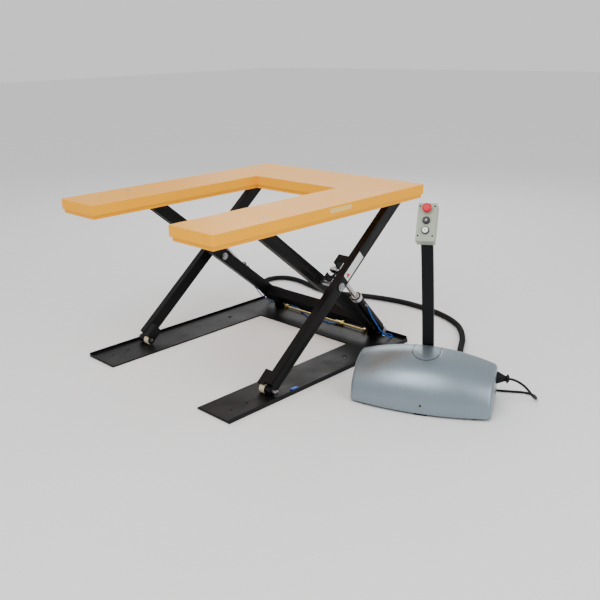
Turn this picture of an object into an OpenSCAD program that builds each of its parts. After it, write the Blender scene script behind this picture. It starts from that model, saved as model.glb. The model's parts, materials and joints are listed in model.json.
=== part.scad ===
// Low-profile U-shaped electro-hydraulic scissor lift table with a floor-standing power unit.
// Millimetres. Drawn fully raised. The origin is on the floor, on the centre line, below the
// fixed hinge of the base. +X points away from the open end of the U, and +Z is up.
// "near" pieces are on the power unit's side, at -Y, and "far" pieces are at +Y.

/* [Platform] */
// Length of the platform, along X
platform_l = 1450; // [1350:10:1600]
// Width of the platform, along Y
platform_w = 1140; // [1120:10:1300]
// Width of the gap between the two arms
gap_w = 580; // [520:5:600]
// Depth of the gap, from the open end
gap_l = 1080; // [900:10:1100]
// Height of the deck when raised
raised_h = 860; // [700:10:900]
// Height of the deck when lowered
lowered_h = 85; // [85:1:110]
// Thickness of the deck plate
deck_t = 5; // [4:0.5:5]
// Depth of the skirt below the top of the deck
skirt_h = 50; // [45:1:55]
// Thickness of the skirt
skirt_t = 4; // [3:0.5:5]
// Radius of the platform's outer corners
deck_corner_r = 14; // [8:1:20]
// How far the platform overhangs the fixed hinge
hinge_overhang = 107; // [90:1:130]
// Outer diameter of a lifting eye's threaded boss
boss_d = 26; // [22:1:30]
// Hole of a lifting eye, tapping size of M12
boss_hole_d = 10.2; // [8:0.1:12]

/* [Safety frame] */
// Depth of the trip frame's wall
trip_h = 26; // [20:1:28]
// Thickness of the trip frame's wall
trip_t = 3; // [2:0.5:3]
// How far the trip frame is set in behind the skirt
trip_inset = 6; // [5:0.5:8]
// How far the trip frame rises when something meets it
trip_travel = 6; // [3:0.5:8]
// How much of the trip frame shows below the skirt
trip_show = 20; // [16:1:22]

/* [Scissor legs] */
// Distance between a leg's end pivots
leg_l = 1240; // [1150:5:1300]
// Depth of a leg's section
leg_depth = 65; // [55:1:66]
// Thickness of a leg, along Y
leg_t = 38; // [30:1:40]
// Wall of a leg's tube
leg_wall = 5; // [3:0.5:8]
// Middle of an inner leg, from the centre line
inner_y = 361; // [355:1:365]
// Middle of an outer leg, from the centre line
outer_y = 488; // [485:1:495]
// Diameter of the hinge pins
pin_d = 25; // [20:1:28]
// Radial clearance of a pin in its bore
pin_fit = 0.05; // [0.02:0.01:0.1]
// Diameter of a roller
roller_d = 50; // [46:1:50]
// Width of a roller
roller_w = 32; // [26:1:33]
// Size of the cross beam along the legs
beam_l = 100; // [80:5:120]
// Depth of the cross beam
beam_depth = 56; // [45:1:58]

/* [Base] */
// Width of a base rail
rail_w = 216; // [200:1:225]
// Inner edge of a rail, from the centre line
rail_y = 336; // [325:1:338]
// Thickness of the base plates
base_t = 8; // [6:1:8]
// Where the base ends past the fixed hinge
base_end = 58; // [50:1:70]
// Where the rails end at the open end, from the fixed hinge
base_open = 1273; // [1270:1:1290]
// Width of the cross plate, along X
cross_w = 266; // [240:1:280]
// Height of the flange at the closed end
flange_h = 27; // [20:1:30]
// Height of the rails' side flanges
side_flange_h = 22; // [14:1:24]
// Diameter of a floor anchor hole
anchor_d = 22; // [14:1:24]

/* [Cylinders] */
// Outer diameter of a cylinder barrel
barrel_d = 50; // [44:1:50]
// Diameter of a piston rod
rod_d = 25; // [20:1:28]
// Length of a barrel between its eye and its gland
barrel_l = 335; // [300:5:345]
// Middle of a cylinder, from the centre line
cylinder_y = 430; // [426:1:434]
// Diameter of the rod's eye pin
eye_pin_d = 20; // [16:1:22]

/* [Power unit] */
// Length of the cover
unit_l = 622; // [580:1:660]
// Height of the cover in its middle
unit_h = 235; // [225:1:260]
// Height of the cover at its ends
unit_end_h = 181; // [175:1:190]
// How far the cover's front bulges
unit_bulge = 45; // [30:1:60]
// Depth of the cover, from the line of its front corners
unit_depth = 290; // [280:1:310]
// Depth at which the cover is highest
unit_crest = 200; // [190:1:205]
// Wall of the cover
unit_wall = 4; // [3:0.5:5]
// Clearance of the cover above the floor
unit_lift = 12; // [8:1:16]
// Angle by which the power unit is turned from lying along Y
unit_turn = 24.6; // [0:0.1:40]

/* [Control post] */
// Width of the post
post_w = 52; // [40:1:60]
// Depth of the post
post_t = 20; // [16:1:30]
// Radius of the bow in the post
post_bow_r = 4000; // [3500:100:8000]
// Sideways lean of the post, in degrees
post_lean = 2.2; // [0:0.1:4]
// Width of the button box
box_w = 80; // [76:1:90]
// Length of the button box
box_l = 170; // [165:1:200]
// Depth of the button box with its lid
box_d = 60; // [56:1:70]
// Backward tilt of the button box, in degrees
box_tilt = 30; // [15:1:40]

/* [Hose and cord] */
// Diameter of the floor hose
hose_d = 32; // [24:1:34]
// Diameter of the mains cord
cord_d = 11; // [8:0.5:12]

/* [Hidden] */

eps = 0.01;
sides = [-1, 1];

// Heights of the pivots and the angle of the raised legs
track_t = 5;
roll_gap = 0.3;
pivot_drop = deck_t + track_t + roll_gap + roller_d / 2;
base_z = base_t + roll_gap + roller_d / 2;
top_z = raised_h - pivot_drop;
leg_angle = asin((top_z - base_z) / leg_l);
roller_x = -leg_l * cos(leg_angle);

// The legs lie level between the base plate and the deck when the table is lowered, so the
// pivots are off the middle of the tube: below it at the low end and above it at the high end
leg_clear = 3.5;
leg_low_off = base_t + leg_clear + leg_depth / 2 - base_z;
leg_high_off = pivot_drop - deck_t - leg_clear - leg_depth / 2;

// Platform outline
platform_x1 = hinge_overhang;
platform_x0 = hinge_overhang - platform_l;
gap_x = platform_x0 + gap_l;
skirt_z = raised_h - skirt_h;
arm_w = (platform_w - gap_w) / 2;

// Axles, rollers and pins along Y
roller_gap = 2;
lower_roller_y = outer_y - leg_t / 2 - roller_gap - roller_w / 2;
upper_roller_y = inner_y + leg_t / 2 + roller_gap + roller_w / 2;
cheek_t = 6;
lug_t = 10;
lug_gap = 2;
lug_d = roller_d - 6;
head_h = 6;
head_d = pin_d + 15;

// Cylinder geometry in the legs' own frames
eye_foot = 45;
eye_foot_lift = 3;
rod_eye_s = 695;
rod_eye_lift = 15;
foot_x = -eye_foot * cos(leg_angle) + eye_foot_lift * sin(leg_angle);
foot_z = base_z + eye_foot * sin(leg_angle) + eye_foot_lift * cos(leg_angle);
rod_eye_x = -(leg_l - rod_eye_s) * cos(leg_angle) - rod_eye_lift * sin(leg_angle);
rod_eye_z = top_z - (leg_l - rod_eye_s) * sin(leg_angle) + rod_eye_lift * cos(leg_angle);
cylinder_angle = atan2(rod_eye_z - foot_z, foot_x - rod_eye_x);
cylinder_l = sqrt((rod_eye_z - foot_z) ^ 2 + (foot_x - rod_eye_x) ^ 2);
eye_w = 30;
eye_d = 34;
foot_eye_d = 38;
rod_in = 150;

// Power unit's frame: x along its length, y towards its back, z up
unit_pos = [-609, -1068, 0];
unit_rot = unit_turn - 90;
post_foot_x = 5;
post_foot_y = 240;
tray_t = 4;
tray_top = unit_lift + tray_t;
cap_r = 61;
motor_y = 122;
motor_z = 86;
motor_r = 60;
motor_x0 = 40;
motor_len = 190;
pump_x0 = -44;
gear_r = 16;
gear_t = 22;
section_power = 2.2;

// Button box's frame: x to its right, y down its face, z out of its face
box_foot_y = 100;
box_foot_z = 754;
lid_t = 16;
estop_v = 26;
up_v = 78;
down_v = 123;
hole_r = 11;

// Colours
black = [0.05, 0.05, 0.06];
yellow = [0.98, 0.69, 0.11];
cover_colour = [0.62, 0.69, 0.73];
steel = [0.75, 0.76, 0.78];
brass = [0.78, 0.68, 0.38];
rubber = [0.10, 0.10, 0.11];
box_colour = [0.78, 0.81, 0.76];

// ---------------------------------------------------------------- shared shapes

module along_y(d, y0, y1) {
    translate([0, y0, 0]) rotate([-90, 0, 0]) cylinder(d = d, h = y1 - y0, $fn = 64);
}

module along_x(d, x0, x1) {
    translate([x0, 0, 0]) rotate([0, 90, 0]) cylinder(d = d, h = x1 - x0, $fn = 64);
}

module box_at(lo, hi) {
    translate(lo) cube([hi[0] - lo[0], hi[1] - lo[1], hi[2] - lo[2]]);
}

// A plate with round corners, in the XY plane
module round_rect(x0, y0, x1, y1, r) {
    translate([x0 + r, y0]) square([x1 - x0 - 2 * r, y1 - y0]);
    translate([x0, y0 + r]) square([x1 - x0, y1 - y0 - 2 * r]);
    for (x = [x0 + r, x1 - r], y = [y0 + r, y1 - r])
        translate([x, y]) circle(r = r, $fn = 48);
}

// Puts its children on both sides of the centre line
module both_sides() {
    for (s = sides) mirror([0, s > 0 ? 0 : 1, 0]) children();
}

// Puts its children on one side: -1 is near and 1 is far
module on_side(s) {
    mirror([0, s > 0 ? 0 : 1, 0]) children();
}

// Frame of the inner legs: origin at the base hinge, the leg lies along -X
module inner_frame() {
    translate([0, 0, base_z]) rotate([0, leg_angle, 0]) children();
}

// Frame of the outer legs: origin at the platform hinge, the leg lies along -X
module outer_frame() {
    translate([0, 0, top_z]) rotate([0, -leg_angle, 0]) children();
}

// Frame of a cylinder: origin at its foot eye, the rod points along -X
module cylinder_frame() {
    translate([foot_x, cylinder_y, foot_z]) rotate([0, cylinder_angle, 0]) children();
}

module unit_frame() {
    translate(unit_pos) rotate([0, 0, unit_rot]) children();
}

module post_frame() {
    unit_frame() translate([post_foot_x, 0, 0]) rotate([0, -post_lean, 0]) children();
}

// Origin at the top edge of the box's face, in its middle
module box_frame() {
    post_frame()
        translate([0, box_foot_y + box_l * sin(box_tilt), box_foot_z + box_l * cos(box_tilt)])
            rotate([-90 - box_tilt, 0, 0]) rotate([0, 180, 0]) mirror([1, 0, 0]) children();
}

// A tube swept along points: one ring of sides at each point
function unit_vec(v) = v / norm(v);
function tangent_at(p, i) =
    i == 0 ? unit_vec(p[1] - p[0])
    : i == len(p) - 1 ? unit_vec(p[i] - p[i - 1])
    : unit_vec(unit_vec(p[i] - p[i - 1]) + unit_vec(p[i + 1] - p[i]));
function side_at(t) = norm(cross(t, [0, 0, 1])) < 0.05 ? [1, 0, 0] : unit_vec(cross(t, [0, 0, 1]));
function ring_at(c, t, r, n) =
    let (a = side_at(t), b = cross(a, t))
    [for (k = [0:n - 1]) c + r * (cos(360 * k / n) * a + sin(360 * k / n) * b)];

module swept_tube(p, d, n = 10) {
    m = len(p);
    points = [for (i = [0:m - 1]) each ring_at(p[i], tangent_at(p, i), d / 2, n)];
    faces = concat(
        [[for (k = [0:n - 1]) k]],
        [for (i = [0:m - 2], k = [0:n - 1])
            [i * n + k, (i + 1) * n + k, (i + 1) * n + (k + 1) % n, i * n + (k + 1) % n]],
        [[for (k = [n - 1:-1:0]) (m - 1) * n + k]]
    );
    polyhedron(points, faces, convexity = 10);
}

// ---------------------------------------------------------------- base frame

base_x0 = -base_open;
cross_x0 = base_end - cross_w;
anchor_x = cross_x0 - 154;
anchor_y = rail_y + rail_w / 2;
floor_screw_xs = [base_x0 + 87, base_x0 + 187];
floor_screw_y = anchor_y + 22;
floor_screw_d = 9;
flange_t = 4;
lip_h = 14;

module rail() {
    color(black) difference() {
        union() {
            box_at([base_x0, rail_y, 0], [cross_x0, rail_y + rail_w, base_t]);
            box_at([base_x0, rail_y + rail_w - flange_t, base_t - eps],
                   [cross_x0, rail_y + rail_w, side_flange_h]);
            box_at([base_x0, rail_y + 10, base_t - eps],
                   [base_x0 + flange_t, rail_y + rail_w - flange_t, lip_h]);
        }
        translate([anchor_x, anchor_y, -1]) cylinder(d = anchor_d, h = base_t + 2, $fn = 48);
        for (x = floor_screw_xs)
            translate([x, floor_screw_y, -1]) cylinder(d = floor_screw_d, h = base_t + 2, $fn = 48);
    }
}

module near_rail() { on_side(-1) rail(); }
module far_rail() { on_side(1) rail(); }

module cross_plate() {
    half = rail_y + rail_w;
    color(black) difference() {
        union() {
            linear_extrude(base_t) difference() {
                translate([cross_x0, -half]) square([cross_w, 2 * half]);
                for (s = sides)
                    translate([base_end, s * half]) rotate(45) square(20, center = true);
            }
            box_at([base_end - flange_t, -half + 16, base_t - eps],
                   [base_end, half - 16, flange_h]);
            both_sides() box_at([cross_x0, half - flange_t, base_t - eps],
                                [base_end - 16, half, side_flange_h]);
        }
        box_at([base_end - flange_t - 1, hose_entry_y - hose_d / 2 + 2, base_t],
               [base_end + 1, hose_entry_y + hose_d / 2 - 2, flange_h + 1]);
    }
}

// A pair of lugs for each inner leg, welded to the cross plate
module base_lug_pair() {
    for (y = [inner_y - leg_t / 2 - lug_gap - lug_t, inner_y + leg_t / 2 + lug_gap])
        difference() {
            translate([0, y, 0]) union() {
                box_at([-30, 0, base_t], [30, lug_t, base_z]);
                translate([0, 0, base_z]) along_y(lug_d, 0, lug_t);
            }
            translate([0, 0, base_z]) along_y(pin_d, y - 1, y + lug_t + 1);
        }
}

module base_lugs() { color(black) both_sides() base_lug_pair(); }

// A plain pin with a head outside its lugs, on the side away from the cylinder
module hinge_pin(y0, y1, head_at_low) {
    along_y(pin_d, y0, y1);
    if (head_at_low) along_y(head_d, y0 - head_h, y0);
    else along_y(head_d, y1, y1 + head_h);
}

module base_pins() {
    lo = inner_y - leg_t / 2 - lug_gap - lug_t;
    hi = inner_y + leg_t / 2 + lug_gap + lug_t;
    color(steel) both_sides() translate([0, 0, base_z]) hinge_pin(lo, hi, true);
}

// Steel pipes that lie on the cross plate and feed both cylinders
pipe_d = 10;
pipe_x = -16;
pipe_z = base_t + 12;
pipe_end_y = 296;
feed_x = base_end - flange_t - 12;
tee_y = -120;
tee_w = 18;

module hydraulic_pipes() {
    color(brass) {
        translate([pipe_x, 0, pipe_z]) {
            along_y(pipe_d, -pipe_end_y, tee_y - 30);
            along_y(pipe_d, tee_y + 30, pipe_end_y);
        }
        translate([0, tee_y, pipe_z]) along_x(pipe_d, pipe_x + tee_w / 2, feed_x - tee_w / 2);
        translate([feed_x, 0, pipe_z]) along_y(pipe_d, tee_y + tee_w / 2, hose_entry_y - tee_w / 2);
    }
}

// Tee, unions and elbows between the pipes, and a block at each end of the run
module pipe_fittings() {
    color(brass) {
        translate([pipe_x, 0, pipe_z]) {
            for (y = [tee_y - 30, tee_y + tee_w / 2]) translate([0, y, 0]) rotate([-90, 0, 0])
                cylinder(d = 20, h = 30 - tee_w / 2, $fn = 6);
            for (y = [-pipe_end_y - 14, pipe_end_y]) box_at([-12, y, -12], [12, y + 14, 11]);
        }
        for (c = [[pipe_x, tee_y], [feed_x, tee_y], [feed_x, hose_entry_y]])
            translate([c[0], c[1], pipe_z])
                box_at([-tee_w / 2, -tee_w / 2, -tee_w / 2], [tee_w / 2, tee_w / 2, tee_w / 2]);
    }
}

// ---------------------------------------------------------------- legs

// The round foot of a leg clears the base plate, as the roller on the same height rests on it
leg_foot_d = roller_d - 2;
leg_end_cut = 14;

// A leg: a tube with solid ends, a round foot at each end pivot, and bored at its three
// pivots. off0 and off1 are how far the tube's middle is above the pivots at 0 and at -leg_l.
module leg_tube(off0, off1) {
    r = leg_depth / 2;
    skew = atan((off0 - off1) / leg_l);
    difference() {
        union() {
            translate([0, 0, off0]) rotate([0, -skew, 0]) leg_box(-leg_l + leg_end_cut, -leg_end_cut, 0);
            for (x = [0, -leg_l]) translate([x, 0, 0]) along_y(leg_foot_d, -leg_t / 2, leg_t / 2);
        }
        translate([0, 0, off0]) rotate([0, -skew, 0]) {
            leg_box(-leg_l + 90, -leg_l / 2 - 40, leg_wall);
            leg_box(-leg_l / 2 + 110, -90, leg_wall);
        }
        for (x = [0, -leg_l / 2]) translate([x, 0, 0])
            along_y(pin_d + 2 * pin_fit, -leg_t / 2 - 1, leg_t / 2 + 1);
        translate([-leg_l, 0, 0]) along_y(pin_d, -leg_t / 2 - 1, leg_t / 2 + 1);
    }
}

// The tube's outer box from x0 to x1, or its hollow where wall is not 0
module leg_box(x0, x1, wall) {
    r = leg_depth / 2 - wall;
    box_at([x0, -leg_t / 2 + wall, -r], [x1, leg_t / 2 - wall, r]);
}

// An inner leg: base hinge at its foot, upper roller at its other end
module inner_leg(s) {
    color(black) on_side(s) inner_frame() translate([0, inner_y, 0]) leg_tube(leg_low_off, leg_high_off);
}

module near_inner_leg() { inner_leg(-1); }
module far_inner_leg() { inner_leg(1); }

// An outer leg, with the cheek that holds its roller's axle from inside
cheek_r = 20;
cheek_low = 17;
cheek_l = 78;
cheek_top = leg_low_off + leg_depth / 2 - 3;

module outer_leg(s) {
    y_in = lower_roller_y - roller_w / 2 - roller_gap - cheek_t;
    y_leg = outer_y - leg_t / 2 + 2;
    color(black) on_side(s) outer_frame() {
        translate([0, outer_y, 0]) leg_tube(leg_high_off, leg_low_off);
        translate([-leg_l, 0, 0]) {
            difference() {
                union() {
                    box_at([0, y_in, -cheek_low], [cheek_l, y_in + cheek_t, cheek_top]);
                    along_y(2 * cheek_r, y_in, y_in + cheek_t);
                    // Top and back plates join the cheek to the leg around the roller
                    box_at([0, y_in, cheek_top - cheek_t], [cheek_l, y_leg, cheek_top]);
                    box_at([cheek_l - cheek_t, y_in, -cheek_low], [cheek_l, y_leg, cheek_top]);
                }
                along_y(pin_d - 5, y_in - 1, y_in + cheek_t + 1);
            }
        }
    }
}

module near_outer_leg() { outer_leg(-1); }
module far_outer_leg() { outer_leg(1); }

// Cross beam between the inner legs, above the base hinge
beam_s = 80;
beam_lift = 6;

module torsion_beam() {
    half = inner_y - leg_t / 2;
    wall = 6;
    color(black) inner_frame() translate([0, 0, beam_lift]) difference() {
        box_at([-beam_s - beam_l, -half, -beam_depth / 2], [-beam_s, half, beam_depth / 2]);
        box_at([-beam_s - beam_l + wall, -half + wall, -beam_depth / 2 + wall],
               [-beam_s - wall, half - wall, beam_depth / 2 - wall]);
    }
}

// Stub axles of the upper rollers, fixed in the inner legs
module upper_axles() {
    color(steel) both_sides() inner_frame() translate([-leg_l, 0, 0]) {
        along_y(pin_d, inner_y - leg_t / 2, upper_roller_y + roller_w / 2 + 0.5);
        along_y(pin_d + 9, upper_roller_y + roller_w / 2 + 0.5, upper_roller_y + roller_w / 2 + 3);
    }
}

// Axles of the lower rollers: stepped down where they enter the cheek, and long outside
module lower_axles() {
    y_in = lower_roller_y - roller_w / 2 - roller_gap - cheek_t;
    color(steel) both_sides() outer_frame() translate([-leg_l, 0, 0]) {
        along_y(pin_d - 5, y_in, y_in + cheek_t + 1);
        along_y(pin_d, y_in + cheek_t + 1, outer_y + leg_t / 2 + 23);
    }
}

// Centre pins with their heads inside and their retaining rings outside
module centre_pins() {
    lo = inner_y - leg_t / 2;
    hi = outer_y + leg_t / 2;
    color(steel) both_sides() inner_frame() translate([-leg_l / 2, 0, 0]) {
        along_y(pin_d, lo, hi + 10);
        along_y(head_d, lo - 5, lo);
        along_y(head_d - 12, lo - 9, lo - 5);
        difference() {
            along_y(head_d + 2, hi + 0.5, hi + 7);
            along_y(pin_d + 0.02, hi, hi + 8);
        }
    }
}

// Pins and lugs that carry the cylinders' foot eyes on the inner legs
module barrel_pins() {
    face = inner_y + leg_t / 2;
    color(steel) both_sides() inner_frame() translate([-eye_foot, 0, eye_foot_lift]) {
        along_y(eye_pin_d, face, cylinder_y + eye_w / 2 + 4);
        along_y(eye_pin_d + 10, cylinder_y + eye_w / 2 + 4, cylinder_y + eye_w / 2 + 9);
        along_y(eye_pin_d + 8, face, cylinder_y - eye_w / 2 - 1);
    }
}

// ---------------------------------------------------------------- cylinders

module barrel(s) {
    r_in = 20;
    color(black) on_side(s) cylinder_frame() difference() {
        union() {
            along_x(barrel_d, -barrel_l + 30, -30);
            along_x(barrel_d + 4, -barrel_l, -barrel_l + 30);
            along_y(foot_eye_d, -eye_w / 2, eye_w / 2);
            box_at([-34, -eye_w / 2, -14], [0, eye_w / 2, 14]);
        }
        along_x(2 * r_in, -barrel_l + 25, -40);
        along_x(rod_d + 0.3, -barrel_l - 1, -60);
        along_y(eye_pin_d + 2 * pin_fit, -eye_w, eye_w);
    }
}

module near_barrel() { barrel(-1); }
module far_barrel() { barrel(1); }

// A piston rod with its eye and the eye's pin; the pin floats in the bracket's slot
module rod(s) {
    color(steel) on_side(s) cylinder_frame() {
        difference() {
            union() {
                along_x(rod_d, -cylinder_l + 10, -barrel_l + rod_in);
                along_x(39.6, -barrel_l + rod_in - 2, -barrel_l + rod_in + 20);
                translate([-cylinder_l, 0, 0]) along_y(eye_d, -eye_w / 2, eye_w / 2);
            }
            translate([-cylinder_l, 0, 0]) along_y(eye_pin_d, -eye_w, eye_w);
        }
        translate([-cylinder_l, 0, 0]) along_y(eye_pin_d, -eye_w / 2 - 14, eye_w / 2 + 14);
    }
}

module near_rod() { rod(-1); }
module far_rod() { rod(1); }

// Brackets on the outer legs that the rods push on; the cheek's slot leaves the pin room
bracket_t = 6;
slot_d = 62;

module rod_bracket() {
    face = outer_y - leg_t / 2;
    cheek_y = cylinder_y - eye_w / 2 - 9;
    top = leg_depth / 2;
    x_eye = -(leg_l - rod_eye_s);
    difference() {
        union() {
            box_at([x_eye - 55, cheek_y, -top + 4], [x_eye + 85, cheek_y + bracket_t, top]);
            box_at([x_eye + 45, cheek_y, top - bracket_t], [x_eye + 85, face, top]);
            box_at([x_eye - 55, cheek_y, top - bracket_t], [x_eye - 44, face, top]);
        }
        translate([x_eye, 0, rod_eye_lift]) along_y(slot_d, cheek_y - 1, cheek_y + bracket_t + 1);
        box_at([x_eye - slot_d / 2, cheek_y - 1, rod_eye_lift],
               [x_eye + slot_d / 2, cheek_y + bracket_t + 1, top + 1]);
    }
}

module rod_brackets() {
    color(black) both_sides() outer_frame() rod_bracket();
}

// ---------------------------------------------------------------- platform

// The platform's U outline, pulled in by d, with round outer corners
module u_outline(d) {
    difference() {
        round_rect(platform_x0 + d, -platform_w / 2 + d, platform_x1 - d, platform_w / 2 - d,
                   max(deck_corner_r - d, 2));
        translate([platform_x0 - 1, -gap_w / 2 - d]) square([gap_l + 1 + d, gap_w + 2 * d]);
    }
}

module platform_deck() {
    color(yellow) translate([0, 0, raised_h - deck_t]) difference() {
        linear_extrude(deck_t) u_outline(0);
        for (b = boss_at) translate([b[0], b[1], -1]) cylinder(d = boss_d, h = deck_t + 2, $fn = 48);
    }
}

module platform_skirt() {
    color(yellow) translate([0, 0, skirt_z]) linear_extrude(skirt_h - deck_t) difference() {
        u_outline(0);
        u_outline(skirt_t);
    }
}

// Places of the lifting eyes' bosses
boss_inset = 73;
boss_at = [
    [platform_x0 + 355, -platform_w / 2 + boss_inset],
    [platform_x0 + 355, platform_w / 2 - boss_inset],
    [platform_x1 - 46, 0]
];

// They end 1 mm above the outer legs when the table is lowered
boss_h = deck_t + leg_clear - 1;

module lifting_bosses() {
    color(steel) for (b = boss_at) translate([b[0], b[1], raised_h - boss_h]) difference() {
        cylinder(d = boss_d, h = boss_h, $fn = 48);
        translate([0, 0, -1]) cylinder(d = boss_hole_d, h = boss_h + 2, $fn = 48);
    }
}

// Strips below the deck that the upper rollers run on
track_w = roller_w + 3;

module roller_tracks() {
    z = raised_h - deck_t - track_t;
    lowered_x = -leg_l * cos(asin((lowered_h - pivot_drop - base_z) / leg_l));
    color(yellow) both_sides()
        box_at([lowered_x - 45, upper_roller_y - track_w / 2, z],
               [roller_x + 50, upper_roller_y + track_w / 2, z + track_t]);
}

module top_lug_pair() {
    for (y = [outer_y - leg_t / 2 - lug_gap - lug_t, outer_y + leg_t / 2 + lug_gap])
        difference() {
            translate([0, y, 0]) union() {
                box_at([-32, 0, top_z], [32, lug_t, raised_h - deck_t]);
                translate([0, 0, top_z]) along_y(44, 0, lug_t);
            }
            translate([0, 0, top_z]) along_y(pin_d, y - 1, y + lug_t + 1);
        }
}

module top_lugs() { color(black) both_sides() top_lug_pair(); }

module top_pins() {
    lo = outer_y - leg_t / 2 - lug_gap - lug_t;
    hi = outer_y + leg_t / 2 + lug_gap + lug_t;
    color(steel) both_sides() translate([0, 0, top_z]) hinge_pin(lo, hi, true);
}

// Micro switches above the trip frame, one on each arm and one on the web
switch_y = platform_w / 2 - 40;
web_switch_y = 80;
switch_at = [
    [platform_x0 + 640, switch_y], [platform_x0 + 640, -switch_y],
    [platform_x1 - 52, web_switch_y]
];
trip_z = skirt_z - trip_show;
tab_t = 3;
plunger_h = 4;

module trip_switches() {
    z = trip_z + trip_h + trip_travel + 0.5 + plunger_h;
    color(rubber) for (w = switch_at) translate([w[0], w[1], z]) {
        box_at([-22, -8, 0], [22, 8, raised_h - deck_t - z]);
        translate([0, 0, -plunger_h]) cylinder(d = 8, h = plunger_h + 1, $fn = 24);
    }
}

// The trip frame: a U-shaped wall that hangs below the skirt, with switch tabs inside
// and a notch for the hose in its closed end
module safety_frame() {
    outer = skirt_t + trip_inset;
    notch_top = raised_h - lowered_h + hose_entry_z + hose_d / 2 + 2;
    color(yellow) difference() {
        union() {
            translate([0, 0, trip_z]) linear_extrude(trip_h) difference() {
                u_outline(outer);
                u_outline(outer + trip_t);
            }
            for (w = switch_at) trip_tab(w, trip_z + trip_h);
        }
        box_at([platform_x1 - outer - trip_t - 1, hose_entry_y - hose_d / 2 - 10, trip_z - 1],
               [platform_x1, hose_entry_y + hose_d / 2 + 10, notch_top]);
    }
}

module trip_tab(w, z) {
    y_edge = platform_w / 2 - skirt_t - trip_inset - trip_t + 0.5;
    x_edge = platform_x1 - skirt_t - trip_inset - trip_t + 0.5;
    if (w[1] == web_switch_y) box_at([w[0] - 12, w[1] - 14, z - tab_t], [x_edge, w[1] + 14, z]);
    else on_side(w[1]) box_at([w[0] - 14, switch_y - 10, z - tab_t], [w[0] + 14, y_edge, z]);
}

// ---------------------------------------------------------------- rollers

module roller(y) {
    color([0.86, 0.82, 0.66]) difference() {
        translate([0, y - roller_w / 2, 0]) rotate([-90, 0, 0]) rotate_extrude($fn = 96)
            polygon([
                [pin_d / 2 + pin_fit, 0], [roller_d / 2 - 2, 0], [roller_d / 2, 2],
                [roller_d / 2, roller_w - 2], [roller_d / 2 - 2, roller_w],
                [pin_d / 2 + pin_fit, roller_w]
            ]);
        // A keying recess on the outer face, off the centre
        translate([0, y + roller_w / 2 - 3, 18.5]) along_y(5, 0, 4);
    }
}

module lower_roller(s) { on_side(s) translate([roller_x, 0, base_z]) roller(lower_roller_y); }
module upper_roller(s) { on_side(s) translate([roller_x, 0, top_z]) roller(upper_roller_y); }
module near_lower_roller() { lower_roller(-1); }
module far_lower_roller() { lower_roller(1); }
module near_upper_roller() { upper_roller(-1); }
module far_upper_roller() { upper_roller(1); }

// ---------------------------------------------------------------- power unit cover

// Height and front bulge of the cover at a share u of its half length
function cover_h(u) = unit_end_h + (unit_h - unit_end_h) * (1 - u * u);
function cover_front(u) = -unit_bulge * (1 - u * u);
function sup(v) = v <= 0 ? 0 : v ^ (2 / section_power);

edge_r = 16;
edge_steps = 4;
// Stations along the cover: [share of the half length, x, inset at the rounded end]
function stations(shrink) =
    let (half = unit_l / 2 - shrink)
    concat(
        [for (k = [0:edge_steps])
            let (a = 90 * (1 - k / edge_steps), x = -half + edge_r * (1 - sin(a)))
            [x / half, x, edge_r * (1 - cos(a))]],
        [for (k = [1:13]) let (x = (-1 + k / 7) * (half - edge_r)) [x / half, x, 0]],
        [for (k = [0:edge_steps])
            let (a = 90 * k / edge_steps, x = half - edge_r * (1 - sin(a)))
            [x / half, x, edge_r * (1 - cos(a))]]
    );

// Section of the cover at a station: front curve, crest, back curve, and its bottom line
front_steps = 14;
back_steps = 8;
function section(st, shrink, z_low) =
    let (
        d = shrink + st[2],
        yf = cover_front(st[0]) + d,
        yb = unit_depth - d,
        h = cover_h(st[0]) - d - z_low
    )
    concat(
        [for (k = [0:front_steps]) let (t = 90 * k / front_steps)
            [st[1], unit_crest - (unit_crest - yf) * sup(cos(t)), z_low + h * sup(sin(t))]],
        [for (k = [1:back_steps]) let (t = 90 - 90 * k / back_steps)
            [st[1], unit_crest + (yb - unit_crest) * sup(cos(t)), z_low + h * sup(sin(t))]]
    );

module cover_solid(shrink, z_low) {
    st = stations(shrink);
    m = len(st);
    n = front_steps + back_steps + 1;
    points = [for (i = [0:m - 1]) each section(st[i], shrink, z_low)];
    faces = concat(
        [[for (k = [n - 1:-1:0]) k]],
        [for (i = [0:m - 2], k = [0:n - 1])
            let (a = i * n + k, b = i * n + (k + 1) % n, c = b + n, d = a + n)
            each [[a, b, c], [a, c, d]]],
        [[for (k = [0:n - 1]) (m - 1) * n + k]]
    );
    polyhedron(points, faces, convexity = 6);
}

cap_x = 3;
cap_front = 145;
cap_back = 199;
cap_gap = 2;

// A slot-shaped plug with round ends, through the top of the cover
module cap_slot(r) {
    for (y = [cap_front, cap_back])
        translate([cap_x, y, unit_h / 2]) cylinder(r = r, h = unit_h, $fn = 72);
    box_at([cap_x - r, cap_front, unit_h / 2], [cap_x + r, cap_back, 1.5 * unit_h]);
}

// The cover's three screws: one in front and one at each end
screw_d = 9;
end_screw_y = 184;
end_screw_z = 57;

module cover_screws(d) {
    translate([15, 0, 49]) rotate([90, 0, 0])
        translate([0, 0, unit_bulge - 9]) cylinder(d = d, h = 9.5, $fn = 32);
    for (x = [-unit_l / 2 - 1.5, unit_l / 2 - 4])
        translate([x, end_screw_y, end_screw_z]) along_x(d, 0, 5.5);
}

module cover_shell() {
    difference() {
        cover_solid(0, unit_lift);
        cover_solid(unit_wall, unit_lift - 20);
    }
}

module unit_cover() {
    color(cover_colour) unit_frame() difference() {
        cover_shell();
        cap_slot(cap_r + cap_gap);
        translate([unit_l / 2 - 20, gland_y, gland_z]) along_x(28.2, 0, 40);
        translate([hose_exit_x, unit_depth - 20, hose_exit_z]) along_y(hose_d + 12.2, 0, 40);
        cover_screws(screw_d + 0.2);
    }
}

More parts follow.
